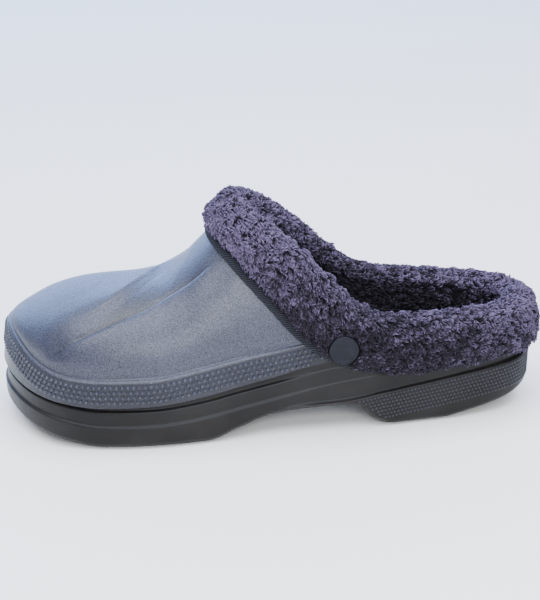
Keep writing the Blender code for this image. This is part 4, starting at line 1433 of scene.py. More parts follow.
class LockField:
    """Curled locks of fleece over a grid of places, as joined meshes."""

    LEVELS = (0.0, 0.42, 0.80)
    GIRTHS = (0.85, 1.0, 0.70)
    SIDES = 3
    ROOT_DEPTH = 0.0006
    TUFT = 7
    DOWNWARD = -0.35
    TURN_SPREAD = 0.55
    HEEL_SPREAD = 0.25
    BEND_SPREAD = 0.30
    LENGTHS = (0.72, 1.25)
    GATHERS = (0.25, 0.60)
    SWAYS = (-0.22, 0.22)
    HEIGHTS = (0.8, 1.15)
    WIDTHS = (0.75, 1.3)

    def __init__(self, grid: Array, material: bpy.types.Material) -> None:
        """Measure the surface that the locks stand on.

        Args:
            grid: Rows by stations by three, closed along the stations.
            material: The locks' finish.
        """
        self.grid = grid
        self.material = material
        self.normal = grid_normals(grid)
        self.way = normalised(np.roll(grid, -1, 1) - np.roll(grid, 1, 1))
        step = np.linalg.norm(np.roll(grid, -1, 1) - grid, axis=2)
        rise = np.linalg.norm(np.diff(grid, axis=0), axis=2)
        self.area = step[:-1] * rise
        share = np.linspace(0, 1, len(grid))
        size = np.interp(share, *zip(*LOCK_SIZES))[:, None, None]
        self.size = np.broadcast_to(size, (*grid.shape[:2], 1))

    def _scatter(
        self, pile: Pile, rng: np.random.Generator, count: int
    ) -> tuple[Array, Array, Array, Array]:
        """Even random places: spot, normal, way round and size at each.

        Args:
            pile: Its stretch of the surface.
            rng: Source of the random numbers.
            count: How many places.

        Returns:
            Spots, normals, ways round and sizes.
        """
        rows = self.area.shape[0]
        low = int(pile.first * rows)
        high = int(round(pile.last * rows))
        area = self.area[low:high]
        total = np.cumsum(area.ravel())
        want = (np.arange(count) + rng.random(count)) / count * total[-1]
        cell = np.searchsorted(total, want)
        level = cell // area.shape[1] + low
        station = cell % area.shape[1]
        u = rng.random(count)[:, None]
        v = rng.random(count)[:, None]
        after = (station + 1) % self.grid.shape[1]
        found = []
        for layer in (self.grid, self.normal, self.way, self.size):
            here = layer[level, station] * (1 - u) + layer[level, after] * u
            over = layer[level + 1, station] * (1 - u) + layer[level + 1, after] * u
            found.append(here * (1 - v) + over * v)
        return found[0], normalised(found[1]), normalised(found[2]), found[3]

    def build(self, pile: Pile, keep: Callable[[Array], Array] | None = None) -> bpy.types.Object:
        """Grow one mesh of locks.

        Args:
            pile: Their count, size and stretch of the surface.
            keep: Tells which roots carry a lock.

        Returns:
            The locks as one piece.
        """
        rng = np.random.default_rng(pile.seed)
        root, normal, way, scale = self._scatter(pile, rng, pile.count)
        tuft, tuft_normal, tuft_way, _ = self._scatter(pile, rng, max(pile.count // self.TUFT, 1))
        if keep is not None:
            kept = keep(root)
            root, normal, way, scale = root[kept], normal[kept], way[kept], scale[kept]
        count = len(root)
        owner = self._nearest(root, tuft)
        turn = rng.normal(self.DOWNWARD, self.TURN_SPREAD, len(tuft))
        across = np.cross(tuft_normal, tuft_way)
        spread = rng.normal(0, self.HEEL_SPREAD, (len(tuft), 1))
        heelward = np.where(tuft_way[:, :1] + spread < 0, -1.0, 1.0)
        lean = tuft_way * heelward * np.cos(turn)[:, None] + across * np.sin(turn)[:, None]
        size = pile.length * rng.uniform(*self.LENGTHS, count)[:, None] * scale
        bend = normalised(lean[owner] + rng.normal(0, self.BEND_SPREAD, (count, 3)))
        bend = normalised(bend - normal * np.sum(bend * normal, axis=1)[:, None])
        gather = (tuft[owner] - root) * rng.uniform(*self.GATHERS, count)[:, None]
        gather -= normal * np.sum(gather * normal, axis=1)[:, None]
        curl = np.cross(normal, bend)
        sway = size * rng.uniform(*self.SWAYS, count)[:, None]
        height = size * (1 - 0.55 * pile.lay) * rng.uniform(*self.HEIGHTS, count)[:, None]
        reach = size * (0.25 + 0.75 * pile.lay)
        width = pile.width * rng.uniform(*self.WIDTHS, count)[:, None] * np.sqrt(scale)
        start = root - normal * self.ROOT_DEPTH

        def centre(t: float) -> Array:
            """Middles of the locks at a share of their length."""
            lift = height * math.sin(math.pi * 0.62 * t)
            run = reach * (1 - math.cos(math.pi * 0.55 * t))
            swing = curl * sway * math.sin(2.4 * math.pi * t)
            return start + normal * lift + bend * run + gather * t + swing

        points = []
        levels = []
        spin = rng.uniform(0, 2 * math.pi, count)[:, None]
        for t, girth in zip(self.LEVELS, self.GIRTHS):
            middle = centre(t)
            line = normalised(centre(t + 0.12) - middle)
            side = normalised(np.cross(line, curl + normal * 0.3))
            front = np.cross(line, side)
            for j in range(self.SIDES):
                angle = spin + 2 * math.pi * j / self.SIDES + t
                points.append(middle + (side * np.cos(angle) + front * np.sin(angle)) * width * girth * 0.5)
                levels.append(t)
        points.append(centre(1.05))
        levels.append(1.0)
        stack = press_round_rivets(np.stack(points, axis=1))
        return self._mesh(pile, stack, levels, owner, rng)

    @staticmethod
    def _nearest(points: Array, targets: Array) -> Array:
        """Index of the nearest target of each point.

        Args:
            points: Places to match.
            targets: Places to match them to.

        Returns:
            An index for each point.
        """
        owner = np.empty(len(points), int)
        for low in range(0, len(points), 1000):
            part = points[low : low + 1000]
            gap = ((part[:, None, :] - targets[None, :, :]) ** 2).sum(axis=2)
            owner[low : low + 1000] = np.argmin(gap, axis=1)
        return owner

    def _mesh(
        self, pile: Pile, points: Array, levels: Sequence[float], owner: Array, rng: np.random.Generator
    ) -> bpy.types.Object:
        """Join the locks' points into a piece with their root-to-tip attribute.

        Args:
            pile: Its name and tone.
            points: Locks by points by three.
            levels: Share of the length at each point.
            owner: Each lock's tuft.
            rng: Source of the random numbers.

        Returns:
            The locks as one piece.
        """
        count, stride = points.shape[:2]
        base = grid_faces(len(self.LEVELS), self.SIDES)
        last = (len(self.LEVELS) - 1) * self.SIDES
        quads = np.array(base)[None] + (np.arange(count) * stride)[:, None, None]
        caps = np.array([(last + k, last + (k + 1) % self.SIDES, stride - 1) for k in range(self.SIDES)])
        tips = caps[None] + (np.arange(count) * stride)[:, None, None]
        mesh = bpy.data.meshes.new(pile.name)
        faces = [tuple(face) for face in quads.reshape(-1, 4).tolist()]
        faces += [tuple(face) for face in tips.reshape(-1, 3).tolist()]
        mesh.from_pydata(points.reshape(-1, 3).tolist(), [], faces)
        mesh.materials.append(self.material)
        mesh.polygons.foreach_set("use_smooth", [True] * len(mesh.polygons))
        piece = bpy.data.objects.new(pile.name, mesh)
        bpy.context.scene.collection.objects.link(piece)
        float_attribute(piece, "tip", np.tile(levels, count))
        # Random paleness of each lock and tuft, plus painted light high up and painted shade low and deep
        # inside.
        tone = pile.tone + 0.32 * rng.random(count) + 0.32 * rng.random(owner.max() + 1)[owner]
        tone = tone + 0.66 * painted_light_of(points[:, 0])
        float_attribute(piece, "tone", np.repeat(tone, stride))
        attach(piece, "root")
        return piece


@dataclass
class CuffBacking:
    """The knit under the locks: the cuff's whole form, a little low."""

    shape: CuffShape
    material: bpy.types.Material

    def build(self) -> bpy.types.Object:
        """Draw the backing, which replaces the CAD's cuff.

        Returns:
            The backing's piece.
        """
        grid = self.shape.surface(BACKING_SHARE)
        rows, count = grid.shape[:2]
        piece = mesh_piece("cuff_backing", grid.reshape(-1, 3), grid_faces(rows, count), self.material)
        float_attribute(piece, "tip", np.full(rows * count, 0.30))
        # Painted light and shade on the backing, as on the locks.
        float_attribute(piece, "tone", 0.10 + 0.6 * painted_light_of(grid.reshape(-1, 3)))
        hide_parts("fleece_cuff")
        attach(piece, "root")
        return piece


@dataclass
class TapePiece:
    """Twill tape along the lower edge of the fleece."""

    edge: CollarEdge
    material: bpy.types.Material
    tuck: float = 0.0012
    lift_share: float = 0.55
    sink: float = 0.0006
    profile: tuple[tuple[float, float], ...] = (
        (1.0, -sink),
        (1.0, TAPE_THICK * 0.45),
        (0.97, TAPE_THICK * 0.85),
        (0.86, TAPE_THICK),
        (0.5, TAPE_THICK * 1.08),
        (0.15, TAPE_THICK),
        (0.0, TAPE_THICK * 0.8),
        (0.0, -sink),
    )

    def build(self) -> bpy.types.Object:
        """Draw the tape with a folded edge, which replaces the CAD's.

        Returns:
            The tape's piece, with its weave coordinates.
        """
        edge = self.edge
        start = edge.flap() + FLAP_ROUND + TAPE_GAP - self.tuck
        width = blend(COLLARS, "tape", edge.along) * TAPE_WIDTH + self.tuck
        rows = []
        for share, lift in self.profile:
            spot, normal = edge.outer_skin.at(start + width * share)
            rows.append(spot + normal * (TAPE_LIFT * self.lift_share + lift))
        count = edge.stations
        points = np.concatenate(rows)
        piece = mesh_piece("tape", points, grid_faces(len(rows), count), self.material)
        gaps = np.linalg.norm(np.roll(edge.outer, -1, 0) - edge.outer, axis=1)
        run = np.concatenate(((0.0,), np.cumsum(gaps[:-1])))
        float_attribute(piece, "run", np.tile(run, len(rows)))
        float_attribute(piece, "rise", np.concatenate([width * share for share, _ in self.profile]))
        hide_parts("cuff_binding")
        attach(piece, "root")
        return piece


@dataclass
class RivetPiece:
    """Snap rivet: a dished cap on a post with a flange behind."""

    node: str
    place: tuple[float, float, float]
    material: bpy.types.Material
    cap_radius: float = 0.0079
    cap_thick: float = 0.0026
    cap_bevel: float = 0.0009
    post_radius: float = 0.0028
    post_sunk: float = 0.0004
    flange_radius: float = 0.0058
    flange_back: float = -0.0059
    flange_front: float = -0.0048
    flange_bevel: float = 0.0003
    corners: int = 80

    def _disc(self, radius: float, low: float, high: float, bevel: float) -> bpy.types.Object:
        """A cylinder along +Z with rounded rims.

        Args:
            radius: Its radius.
            low: Height of its foot.
            high: Height of its top.
            bevel: Rounding of its rims, or 0.

        Returns:
            The disc.
        """
        bpy.ops.object.select_all(action="DESELECT")
        bpy.ops.mesh.primitive_cylinder_add(
            vertices=self.corners, radius=radius, depth=high - low, location=(0, 0, (low + high) / 2)
        )
        disc = bpy.context.object
        if bevel > 0:
            rounding = disc.modifiers.new("rounding", "BEVEL")
            rounding.width = bevel
            rounding.segments = 5
            rounding.limit_method = "ANGLE"
            bpy.ops.object.modifier_apply(modifier=rounding.name)
        return disc

    def build(self) -> bpy.types.Object:
        """Model the rivet and stand it on its CAD place.

        Returns:
            The rivet's piece, which replaces its CAD node.
        """
        top = RIVET_SEAT + self.cap_thick
        cap = self._disc(self.cap_radius, RIVET_SEAT, top, self.cap_bevel)
        self._dish(cap)
        post = self._disc(self.post_radius, self.flange_front, RIVET_SEAT + self.post_sunk, 0.0)
        flange = self._disc(self.flange_radius, self.flange_back, self.flange_front, self.flange_bevel)
        bpy.ops.object.select_all(action="DESELECT")
        for part in (cap, post, flange):
            part.select_set(True)
        bpy.context.view_layer.objects.active = cap
        bpy.ops.object.join()
        cap.name = self.node + "_cap"
        cap.data.name = cap.name
        cap.data.materials.clear()
        cap.data.materials.append(self.material)
        outward = -1.0 if self.place[1] < 0 else 1.0
        axis = Vector((0.0, outward, RIVET_TILT)).normalized()
        turn = axis.to_track_quat("Z", "Y").to_matrix().to_4x4()
        bpy.ops.object.transform_apply(location=True, rotation=True, scale=True)
        cap.data.transform(Matrix.Translation(Vector(self.place)) @ turn)
        bpy.ops.object.shade_smooth_by_angle(angle=math.radians(35))
        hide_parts(self.node)
        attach(cap, "root")
        return cap

    @staticmethod
    def _dish(cap: bpy.types.Object) -> None:
        """Sink the cap's face a little inside a raised rim.

        Args:
            cap: The cap's disc.
        """
        bm = bmesh.new()
        bm.from_mesh(cap.data)
        face = max(bm.faces, key=lambda f: (round(f.calc_center_median().z, 6), f.calc_area()))
        bmesh.ops.inset_region(bm, faces=[face], thickness=0.0007, depth=0.0)
        bmesh.ops.inset_region(bm, faces=[face], thickness=0.0004, depth=-0.00025)
        bmesh.ops.inset_region(bm, faces=[face], thickness=0.0030, depth=0.00012)
        bm.to_mesh(cap.data)
        bm.free()


@dataclass
class InsolePiece:
    """The footbed pad's top, softly hollowed, under its short pile."""

    shell: Shell
    material: bpy.types.Material
    edge: tuple[tuple[float, float], ...] = (
        (0.0078, 0.0015),
        (0.0056, 0.0024),
        (0.0046, 0.0040),
        (0.0046, 0.0056),
        (0.0054, 0.0068),
        (0.0072, 0.0072),
    )
    rim: float = 0.0078
    top_rows: int = 16
    pile_sink: float = 0.0006

    def __post_init__(self) -> None:
        """Draw the pad's rows."""
        self.grid = self._rows()

    def _rows(self) -> Array:
        """Rings of the pad from its foot over its edge to the middle.

        Returns:
            Rows by ribs by three.
        """
        shell = self.shell
        ribs = shell.ribs
        wall = shell.inner[ribs.density.inside - 1]
        plan = wall[:, :2]
        bed = bed_floor(np.clip(plan[:, 0] / LENGTH, 0, 1))
        rows = []
        for step, lift in self.edge:
            rows.append(ribs.raised(plan + ribs.inward * step, bed + lift) + SHIFT)
        rim = plan + ribs.inward * self.rim
        edge = rows[-1]
        for share in np.linspace(0.93, 0.0, self.top_rows):
            spot = ribs.spine + (rim - ribs.spine) * share
            along = np.clip(spot[:, 0] / LENGTH, 0, 1)
            low = bed_floor(along) + INSOLE_THICK + FIT_GAP
            rise = (edge[:, 2] - low) * smooth_step(0.55, 1.0, share)
            rows.append(ribs.raised(spot, low + rise) + SHIFT)
        return np.array(rows)

    def build(self) -> bpy.types.Object:
        """Draw the pad's skin, which replaces the CAD's insole.

        Returns:
            The pad's piece.
        """
        rows, count = self.grid.shape[:2]
        points = self.grid.reshape(-1, 3).copy()
        points[:, 2] -= self.pile_sink
        piece = mesh_piece("insole_pad", points, grid_faces(rows, count), self.material)
        bm = bmesh.new()
        bm.from_mesh(piece.data)
        bmesh.ops.remove_doubles(bm, verts=bm.verts, dist=1e-6)
        bm.to_mesh(piece.data)
        bm.free()
        float_attribute(piece, "tip", np.full(len(piece.data.vertices), 0.25))
        float_attribute(piece, "tone", np.full(len(piece.data.vertices), 0.5))
        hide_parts("insole")
        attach(piece, "root")
        return piece


@dataclass
class LiningPiece:
    """Short-pile lining on the inside walls, from the fleece to the footbed."""

    shell: Shell
    material: bpy.types.Material
    thick: float = 0.0012
    middle: float = 0.04

    def build(self) -> bpy.types.Object:
        """Lay the lining a little off the body's inside.

        Returns:
            The lining's piece.
        """
        shell = self.shell
        density = shell.ribs.density
        rings = shell.inner[: density.inside + 2]
        grid = np.array(rings) + SHIFT
        inward = grid_normals(grid)
        middle = np.column_stack((shell.ribs.spine, np.full(shell.ribs.count, self.middle))) + SHIFT
        toward = np.sum((middle[None] - grid) * inward, axis=2, keepdims=True)
        inward = np.where(toward < 0, -inward, inward)
        grid = grid + inward * self.thick
        rows, count = grid.shape[:2]
        piece = mesh_piece("lining", grid.reshape(-1, 3), grid_faces(rows, count), self.material)
        float_attribute(piece, "tip", np.full(rows * count, 0.2))
        float_attribute(piece, "tone", np.full(rows * count, 0.5))
        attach(piece, "root")
        return piece


# Tread
LUG_PITCH_ALONG = 0.0150
LUG_PITCH_ACROSS = 0.0145
LUG_GROOVE = 0.0030
LUG_SLANT = 0.55
LUG_DRAFT = 0.93
LUG_LEAST = 3.5e-5
LUG_BED = 0.0008
LUG_FRINGE = 0.0030
LUG_CORNER = 0.0006
END_MARGIN = 0.03
FIELDS = ((0.055, 0.430), (0.722, 0.955))
TOOTH_DEPTH = 0.0010
TEETH = 4
TOOTH_EDGE = 0.04
TOOTH_LIFT = 0.0001
TOOTH_FIELD = 0.97
CELL_FIELD = 0.90
OUTLINE_STEP = 18


class TreadPiece:
    """Lugs of the sole with their small pyramids, over the recessed field."""

    def __init__(self, outline: Outline, material: bpy.types.Material) -> None:
        """Keep the outline and the finish.

        Args:
            outline: The plan outline.
            material: The lugs' finish.
        """
        self.outline = outline
        self.material = material
        self.points: list[tuple] = []
        self.faces: list[tuple] = []

    @staticmethod
    def _clip(polygon: list[Array], edge_point: Array, edge_inward: Array) -> list[Array]:
        """Part of a polygon on the inward side of a line.

        Args:
            polygon: Corners in order.
            edge_point: A point of the line.
            edge_inward: Way to the side that stays.

        Returns:
            Corners of what is left.
        """
        result = []
        for k, here in enumerate(polygon):
            there = polygon[(k + 1) % len(polygon)]
            a = float(np.dot(here - edge_point, edge_inward))
            b = float(np.dot(there - edge_point, edge_inward))
            if a >= 0:
                result.append(here)
            if a * b < 0:
                result.append(here + (there - here) * (a / (a - b)))
        return result

    @staticmethod
    def _area(polygon: Sequence[Array]) -> float:
        """Signed area of a plan polygon.

        Args:
            polygon: Corners in order.

        Returns:
            Square metres, above 0 counter-clockwise.
        """
        pts = np.array(polygon)
        x, y = pts[:, 0], pts[:, 1]
        return 0.5 * float(np.sum(x * np.roll(y, -1) - y * np.roll(x, -1)))

    def _cells(self, start: float, end: float) -> list[tuple[list[Array], Array]]:
        """Each lug's clipped plan polygon and its whole cell's corners.

        Args:
            start: The field's start, share of the length.
            end: Its end.

        Returns:
            A polygon and four corners for each lug.
        """
        outline = self.outline
        fringe = RIM_OUTER + RIM_WIDTH + LUG_FRINGE
        rows = int(math.ceil((end - start) * LENGTH / LUG_PITCH_ALONG)) + 4
        lanes = int(math.ceil(0.5 * BALL_WIDTH / LUG_PITCH_ACROSS)) + 1
        cells = []
        for outward in (-1.0, 1.0):
            for lane in range(lanes):
                near = lane * LUG_PITCH_ACROSS + 0.5 * LUG_GROOVE
                far = (lane + 1) * LUG_PITCH_ACROSS - 0.5 * LUG_GROOVE
                for row in range(-2, rows):
                    low = start * LENGTH + row * LUG_PITCH_ALONG
                    high = low + LUG_PITCH_ALONG - LUG_GROOVE
                    whole = []
                    for x, u in ((low, near), (high, near), (high, far), (low, far)):
                        share = min(max(x / LENGTH, END_MARGIN), 1 - END_MARGIN)
                        y = outline.middle(share) + outward * u
                        whole.append(np.array((x - LUG_SLANT * u, y)))
                    centre = np.mean(whole, axis=0)
                    share = min(max(centre[0] / LENGTH, END_MARGIN), 1 - END_MARGIN)
                    lowest = outline.at_along(share, True)[0][1] - LUG_PITCH_ACROSS
                    highest = outline.at_along(share, False)[0][1] + LUG_PITCH_ACROSS
                    if not lowest < centre[1] < highest:
                        continue
                    cell = self._clip(whole, np.array((start * LENGTH, 0)), np.array((1.0, 0.0)))
                    if len(cell) > 2:
                        cell = self._clip(cell, np.array((end * LENGTH, 0)), np.array((-1.0, 0.0)))
                    for k in range(0, len(outline.curve), OUTLINE_STEP):
                        if len(cell) < 3:
                            break
                        point = outline.curve[k] + outline.inward[k] * fringe
                        if np.linalg.norm(np.mean(cell, axis=0) - point) < 3 * LUG_PITCH_ALONG:
                            cell = self._clip(cell, point, outline.inward[k])
                    if len(cell) > 2 and abs(self._area(cell)) > LUG_LEAST:
                        cells.append((self._tidy(cell), np.array(whole)))
        return cells

    def _tidy(self, polygon: list[Array]) -> list[Array]:
        """Drop corners that are too close, run counter-clockwise.

        Args:
            polygon: Corners in order.

        Returns:
            The corners that stay.
        """
        result = []
        for point in polygon:
            if not result or np.linalg.norm(point - result[-1]) > LUG_CORNER:
                result.append(point)
        if np.linalg.norm(result[0] - result[-1]) < LUG_CORNER:
            result.pop()
        if self._area(result) < 0:
            result.reverse()
        return result

    def build(self) -> bpy.types.Object:
        """Model every lug and its teeth as one piece.

        Returns:
            The lugs' piece.
        """
        for start, end in FIELDS:
            for cell, whole in self._cells(start, end):
                self._lug(cell, whole)
        piece = mesh_piece("tread_lugs", np.array(self.points) + SHIFT, self.faces, self.material)
        piece.data.polygons.foreach_set("use_smooth", [False] * len(piece.data.polygons))
        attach(piece, "root")
        return piece

    @staticmethod
    def _level(x: float) -> float:
        """Height of the tread's lowest face at a place along."""
        return float(side_height("tread", min(max(x / LENGTH, 0), 1)))

    def _lug(self, cell: list[Array], whole: Array) -> None:
        """One lug: a drafted prism and a grid of pyramids on its face.

        Args:
            cell: The lug's plan.
            whole: Its whole cell's corners.
        """
        centre = np.mean(cell, axis=0)
        base = len(self.points)
        count = len(cell)
        for point in cell:
            tip = centre + (point - centre) * LUG_DRAFT
            self.points.append((*tip, self._level(tip[0]) + TOOTH_DEPTH))
        for point in cell:
            high = self._level(point[0]) + float(tread_recess(point[0] / LENGTH)) + LUG_BED
            self.points.append((*point, high))
        self.faces.append(tuple(range(base + count - 1, base - 1, -1)))
        for k in range(count):
            j = (k + 1) % count
            self.faces.append((base + k, base + j, base + count + j, base + count + k))
        face = [centre + (point - centre) * (LUG_DRAFT * TOOTH_FIELD) for point in cell]
        corners = np.mean(whole, axis=0) + (whole - np.mean(whole, axis=0)) * CELL_FIELD
        for i in range(TEETH):
            for j in range(TEETH):
                self._tooth(corners, face, i, j)

    def _tooth(self, corners: Array, face: list[Array], i: int, j: int) -> None:
        """One pyramid, where its whole foot lies on the lug's face.

        Args:
            corners: The cell's corners.
            face: The lug's face, in plan.
            i: The tooth's row.
            j: The tooth's lane.
        """

        def at(s: float, t: float) -> Array:
            """Plan place at two shares of the cell."""
            low = corners[0] * (1 - s) + corners[1] * s
            high = corners[3] * (1 - s) + corners[2] * s
            return low * (1 - t) + high * t

        s0 = (i + TOOTH_EDGE) / TEETH
        s1 = (i + 1 - TOOTH_EDGE) / TEETH
        t0 = (j + TOOTH_EDGE) / TEETH
        t1 = (j + 1 - TOOTH_EDGE) / TEETH
        foot = [at(s0, t0), at(s1, t0), at(s1, t1), at(s0, t1)]
        if self._area(foot) < 0:
            foot.reverse()
        for point in foot:
            for k, here in enumerate(face):
                way = face[(k + 1) % len(face)] - here
                if way[0] * (point - here)[1] - way[1] * (point - here)[0] < -1e-7:
                    return
        base = len(self.points)
        for point in foot:
            self.points.append((*point, self._level(point[0]) + TOOTH_DEPTH + TOOTH_LIFT))
        tip = np.mean(foot, axis=0)
        self.points.append((*tip, self._level(tip[0])))
        for k in range(4):
            self.faces.append((base + (k + 1) % 4, base + k, base + 4))


class Value:
    """A shader output that takes part in plain arithmetic."""

    def __init__(self, graph: Graph, socket: bpy.types.NodeSocket) -> None:
        """Wrap an output socket of a graph."""
        self.graph = graph
        self.socket = socket

    def _math(self, operation: str, other: Value | float) -> Value:
        """One math node on this value."""
        node = self.graph.node("ShaderNodeMath", {0: self, 1: other}, operation=operation)
        return Value(self.graph, node.outputs[0])

    def __add__(self, other: Value | float) -> Value:
        """Sum."""
        return self._math("ADD", other)

    __radd__ = __add__

    def __rsub__(self, other: float) -> Value:
        """Constant less this value."""
        return self * -1.0 + other

    def __sub__(self, other: Value | float) -> Value:
        """Difference."""
        return self._math("SUBTRACT", other)

    def __mul__(self, other: Value | float) -> Value:
        """Product."""
        return self._math("MULTIPLY", other)

    __rmul__ = __mul__

    def sine(self) -> Value:
        """Sine, in radians."""
        return self._math("SINE", 0.0)

    def between(self, low: float, high: float) -> Value:
        """The value eased from a span to 0 to 1.

        Args:
            low: What becomes 0.
            high: What becomes 1.

        Returns:
            The eased value.
        """
        inputs = {0: self, 1: low, 2: high}
        node = self.graph.node("ShaderNodeMapRange", inputs, interpolation_type="SMOOTHSTEP")
        return Value(self.graph, node.outputs[0])


class Graph:
    """A material's node tree, with one way to make a node."""

    def __init__(self, name: str) -> None:
        """Start a material with its Principled shader.

        Args:
            name: The material's name.
        """
        self.material = bpy.data.materials.new(name)
        self.material.use_nodes = True
        self.nodes = self.material.node_tree.nodes
        self.links = self.material.node_tree.links
        self.shader = self.nodes["Principled BSDF"]

    def node(self, kind: str, inputs: dict, **settings: object) -> bpy.types.Node:
        """Make a node, set its fields and feed its sockets.

        Args:
            kind: Blender's name of the node.
            inputs: Value, output or constant for each input's name or index.
            **settings: The node's own fields.

        Returns:
            The new node.
        """
        made = self.nodes.new(kind)
        for key, value in settings.items():
            setattr(made, key, value)
        for key, value in inputs.items():
            self.feed(made.inputs[key], value)
        return made

    def feed(self, socket: bpy.types.NodeSocket, value: object) -> None:
        """Link an output to a socket, or set the socket's constant.

        Args:
            socket: The input.
            value: Value, output or constant.
        """
        if isinstance(value, Value):
            self.links.new(value.socket, socket)
        elif isinstance(value, bpy.types.NodeSocket):
            self.links.new(value, socket)
        else:
            socket.default_value = value

    def place(self) -> bpy.types.NodeSocket:
        """Object coordinates, in metres."""
        return self.node("ShaderNodeTexCoord", {}).outputs["Object"]

    def attribute(self, name: str) -> Value:
        """A number stored on the mesh."""
        made = self.node("ShaderNodeAttribute", {}, attribute_name=name)
        return Value(self, made.outputs["Fac"])

    def noise(self, size: float, detail: float = 3.0, rough: float = 0.5) -> Value:
        """Noise of a feature size in metres.

        Args:
            size: Feature size, metres.
            detail: Octaves.
            rough: Weight of the finer octaves.

        Returns:
            The noise, from 0 to 1.
        """
        made = self.node(
            "ShaderNodeTexNoise",
            {"Vector": self.place(), "Scale": 1.0 / size, "Detail": detail, "Roughness": rough},
        )
        return Value(self, made.outputs["Fac"])

    def cells(self, size: float) -> Value:
        """Distance in a cell pattern of a size in metres."""
        made = self.node("ShaderNodeTexVoronoi", {"Vector": self.place(), "Scale": 1.0 / size})
        return Value(self, made.outputs["Distance"])

    def mix(self, share: Value, low: Sequence[float], high: Sequence[float]) -> bpy.types.NodeSocket:
        """Colour between two colours.

        Args:
            share: How much of the second.
            low: First colour.
            high: Second colour.

        Returns:
            The mixed colour's output.
        """
        made = self.node("ShaderNodeMix", {}, data_type="RGBA")
        self.feed(made.inputs["Factor"], share)
        for socket, colour in ((made.inputs[6], low), (made.inputs[7], high)):
            if isinstance(colour, bpy.types.NodeSocket):
                self.feed(socket, colour)
            else:
                socket.default_value = (*colour, 1.0)
        return made.outputs[2]

    def bump(
        self, height: Value, depth: float, below: bpy.types.NodeSocket | None = None
    ) -> bpy.types.NodeSocket:
        """A bumped normal, with the height's depth in metres.

        Args:
            height: The height, from 0 to 1.
            depth: Metres that 1 stands for.
            below: A normal to build on.

        Returns:
            The normal's output.
        """
        made = self.node("ShaderNodeBump", {"Height": height, "Distance": depth, "Strength": 1.0})
        if below is not None:
            self.feed(made.inputs["Normal"], below)
        return made.outputs["Normal"]


def rgb(red: int, green: int, blue: int) -> tuple[float, float, float]:
    """Linear colour of a display colour.

    Args:
        red: Level from 0 to 255.
        green: Level from 0 to 255.
        blue: Level from 0 to 255.

    Returns:
        Three linear levels from 0 to 1.
    """
    values = []
    for part in (red, green, blue):
        share = part / 255
        values.append(share / 12.92 if share <= 0.04045 else ((share + 0.055) / 1.055) ** 2.4)
    return tuple(values)


@dataclass(frozen=True)
class Foam:
    """Moulded foam: colours of upper and sole, gloss and grain. It is one foam all over: the upper's
    colours are painted light, a paler, bluer copy, and the sole's are painted shade, a darker, warmer copy.
    """

    # The sole's two colours: painted shade on the one foam.
    sole: tuple[float, float, float] = rgb(20, 18, 18)
    shaded_sole_worn: tuple[float, float, float] = rgb(30, 28, 28)
    # The upper's two colours: painted light on the one foam.
    upper: tuple[float, float, float] = rgb(26, 27, 38)
    lit_upper_worn: tuple[float, float, float] = rgb(52, 54, 74)
    coat: float = 0.95
    scuff: tuple[float, float, float] = rgb(190, 194, 200)
    roughness: float = 0.40
    grain: float = 0.0010
    grain_depth: float = 0.00030
    coat_roughness: float = 0.42
    index: float = 1.27


@dataclass(frozen=True)
class Fleece:
    """Pile: its colours at the root, along the lock and at the tip."""

    root: tuple[float, float, float] = rgb(16, 13, 17)
    body: tuple[float, float, float] = rgb(35, 29, 37)
    tip: tuple[float, float, float] = rgb(97, 85, 112)
    sheen: float = 0.12
    sheen_roughness: float = 0.45
    sheen_tint: tuple[float, float, float] = rgb(150, 146, 178)
    roughness: float = 0.92
    specular: float = 0.2


@dataclass(frozen=True)
class Twill:
    """Ribbed tape: its two colours, the ribs' pitch and slant, and its gloss."""

    dark: tuple[float, float, float] = rgb(5, 5, 7)
    pale: tuple[float, float, float] = rgb(46, 46, 56)
    pitch: float = 0.0012
    slant: float = 0.8
    roughness: float = 0.85
    sheen: float = 0.05
    specular: float = 0.15


@dataclass(frozen=True)
class Cap:
    """Moulded cap: its two colours and its gloss."""

    dark: tuple[float, float, float] = rgb(13, 14, 22)
    pale: tuple[float, float, float] = rgb(20, 21, 31)
    roughness: float = 0.34
    index: float = 1.27


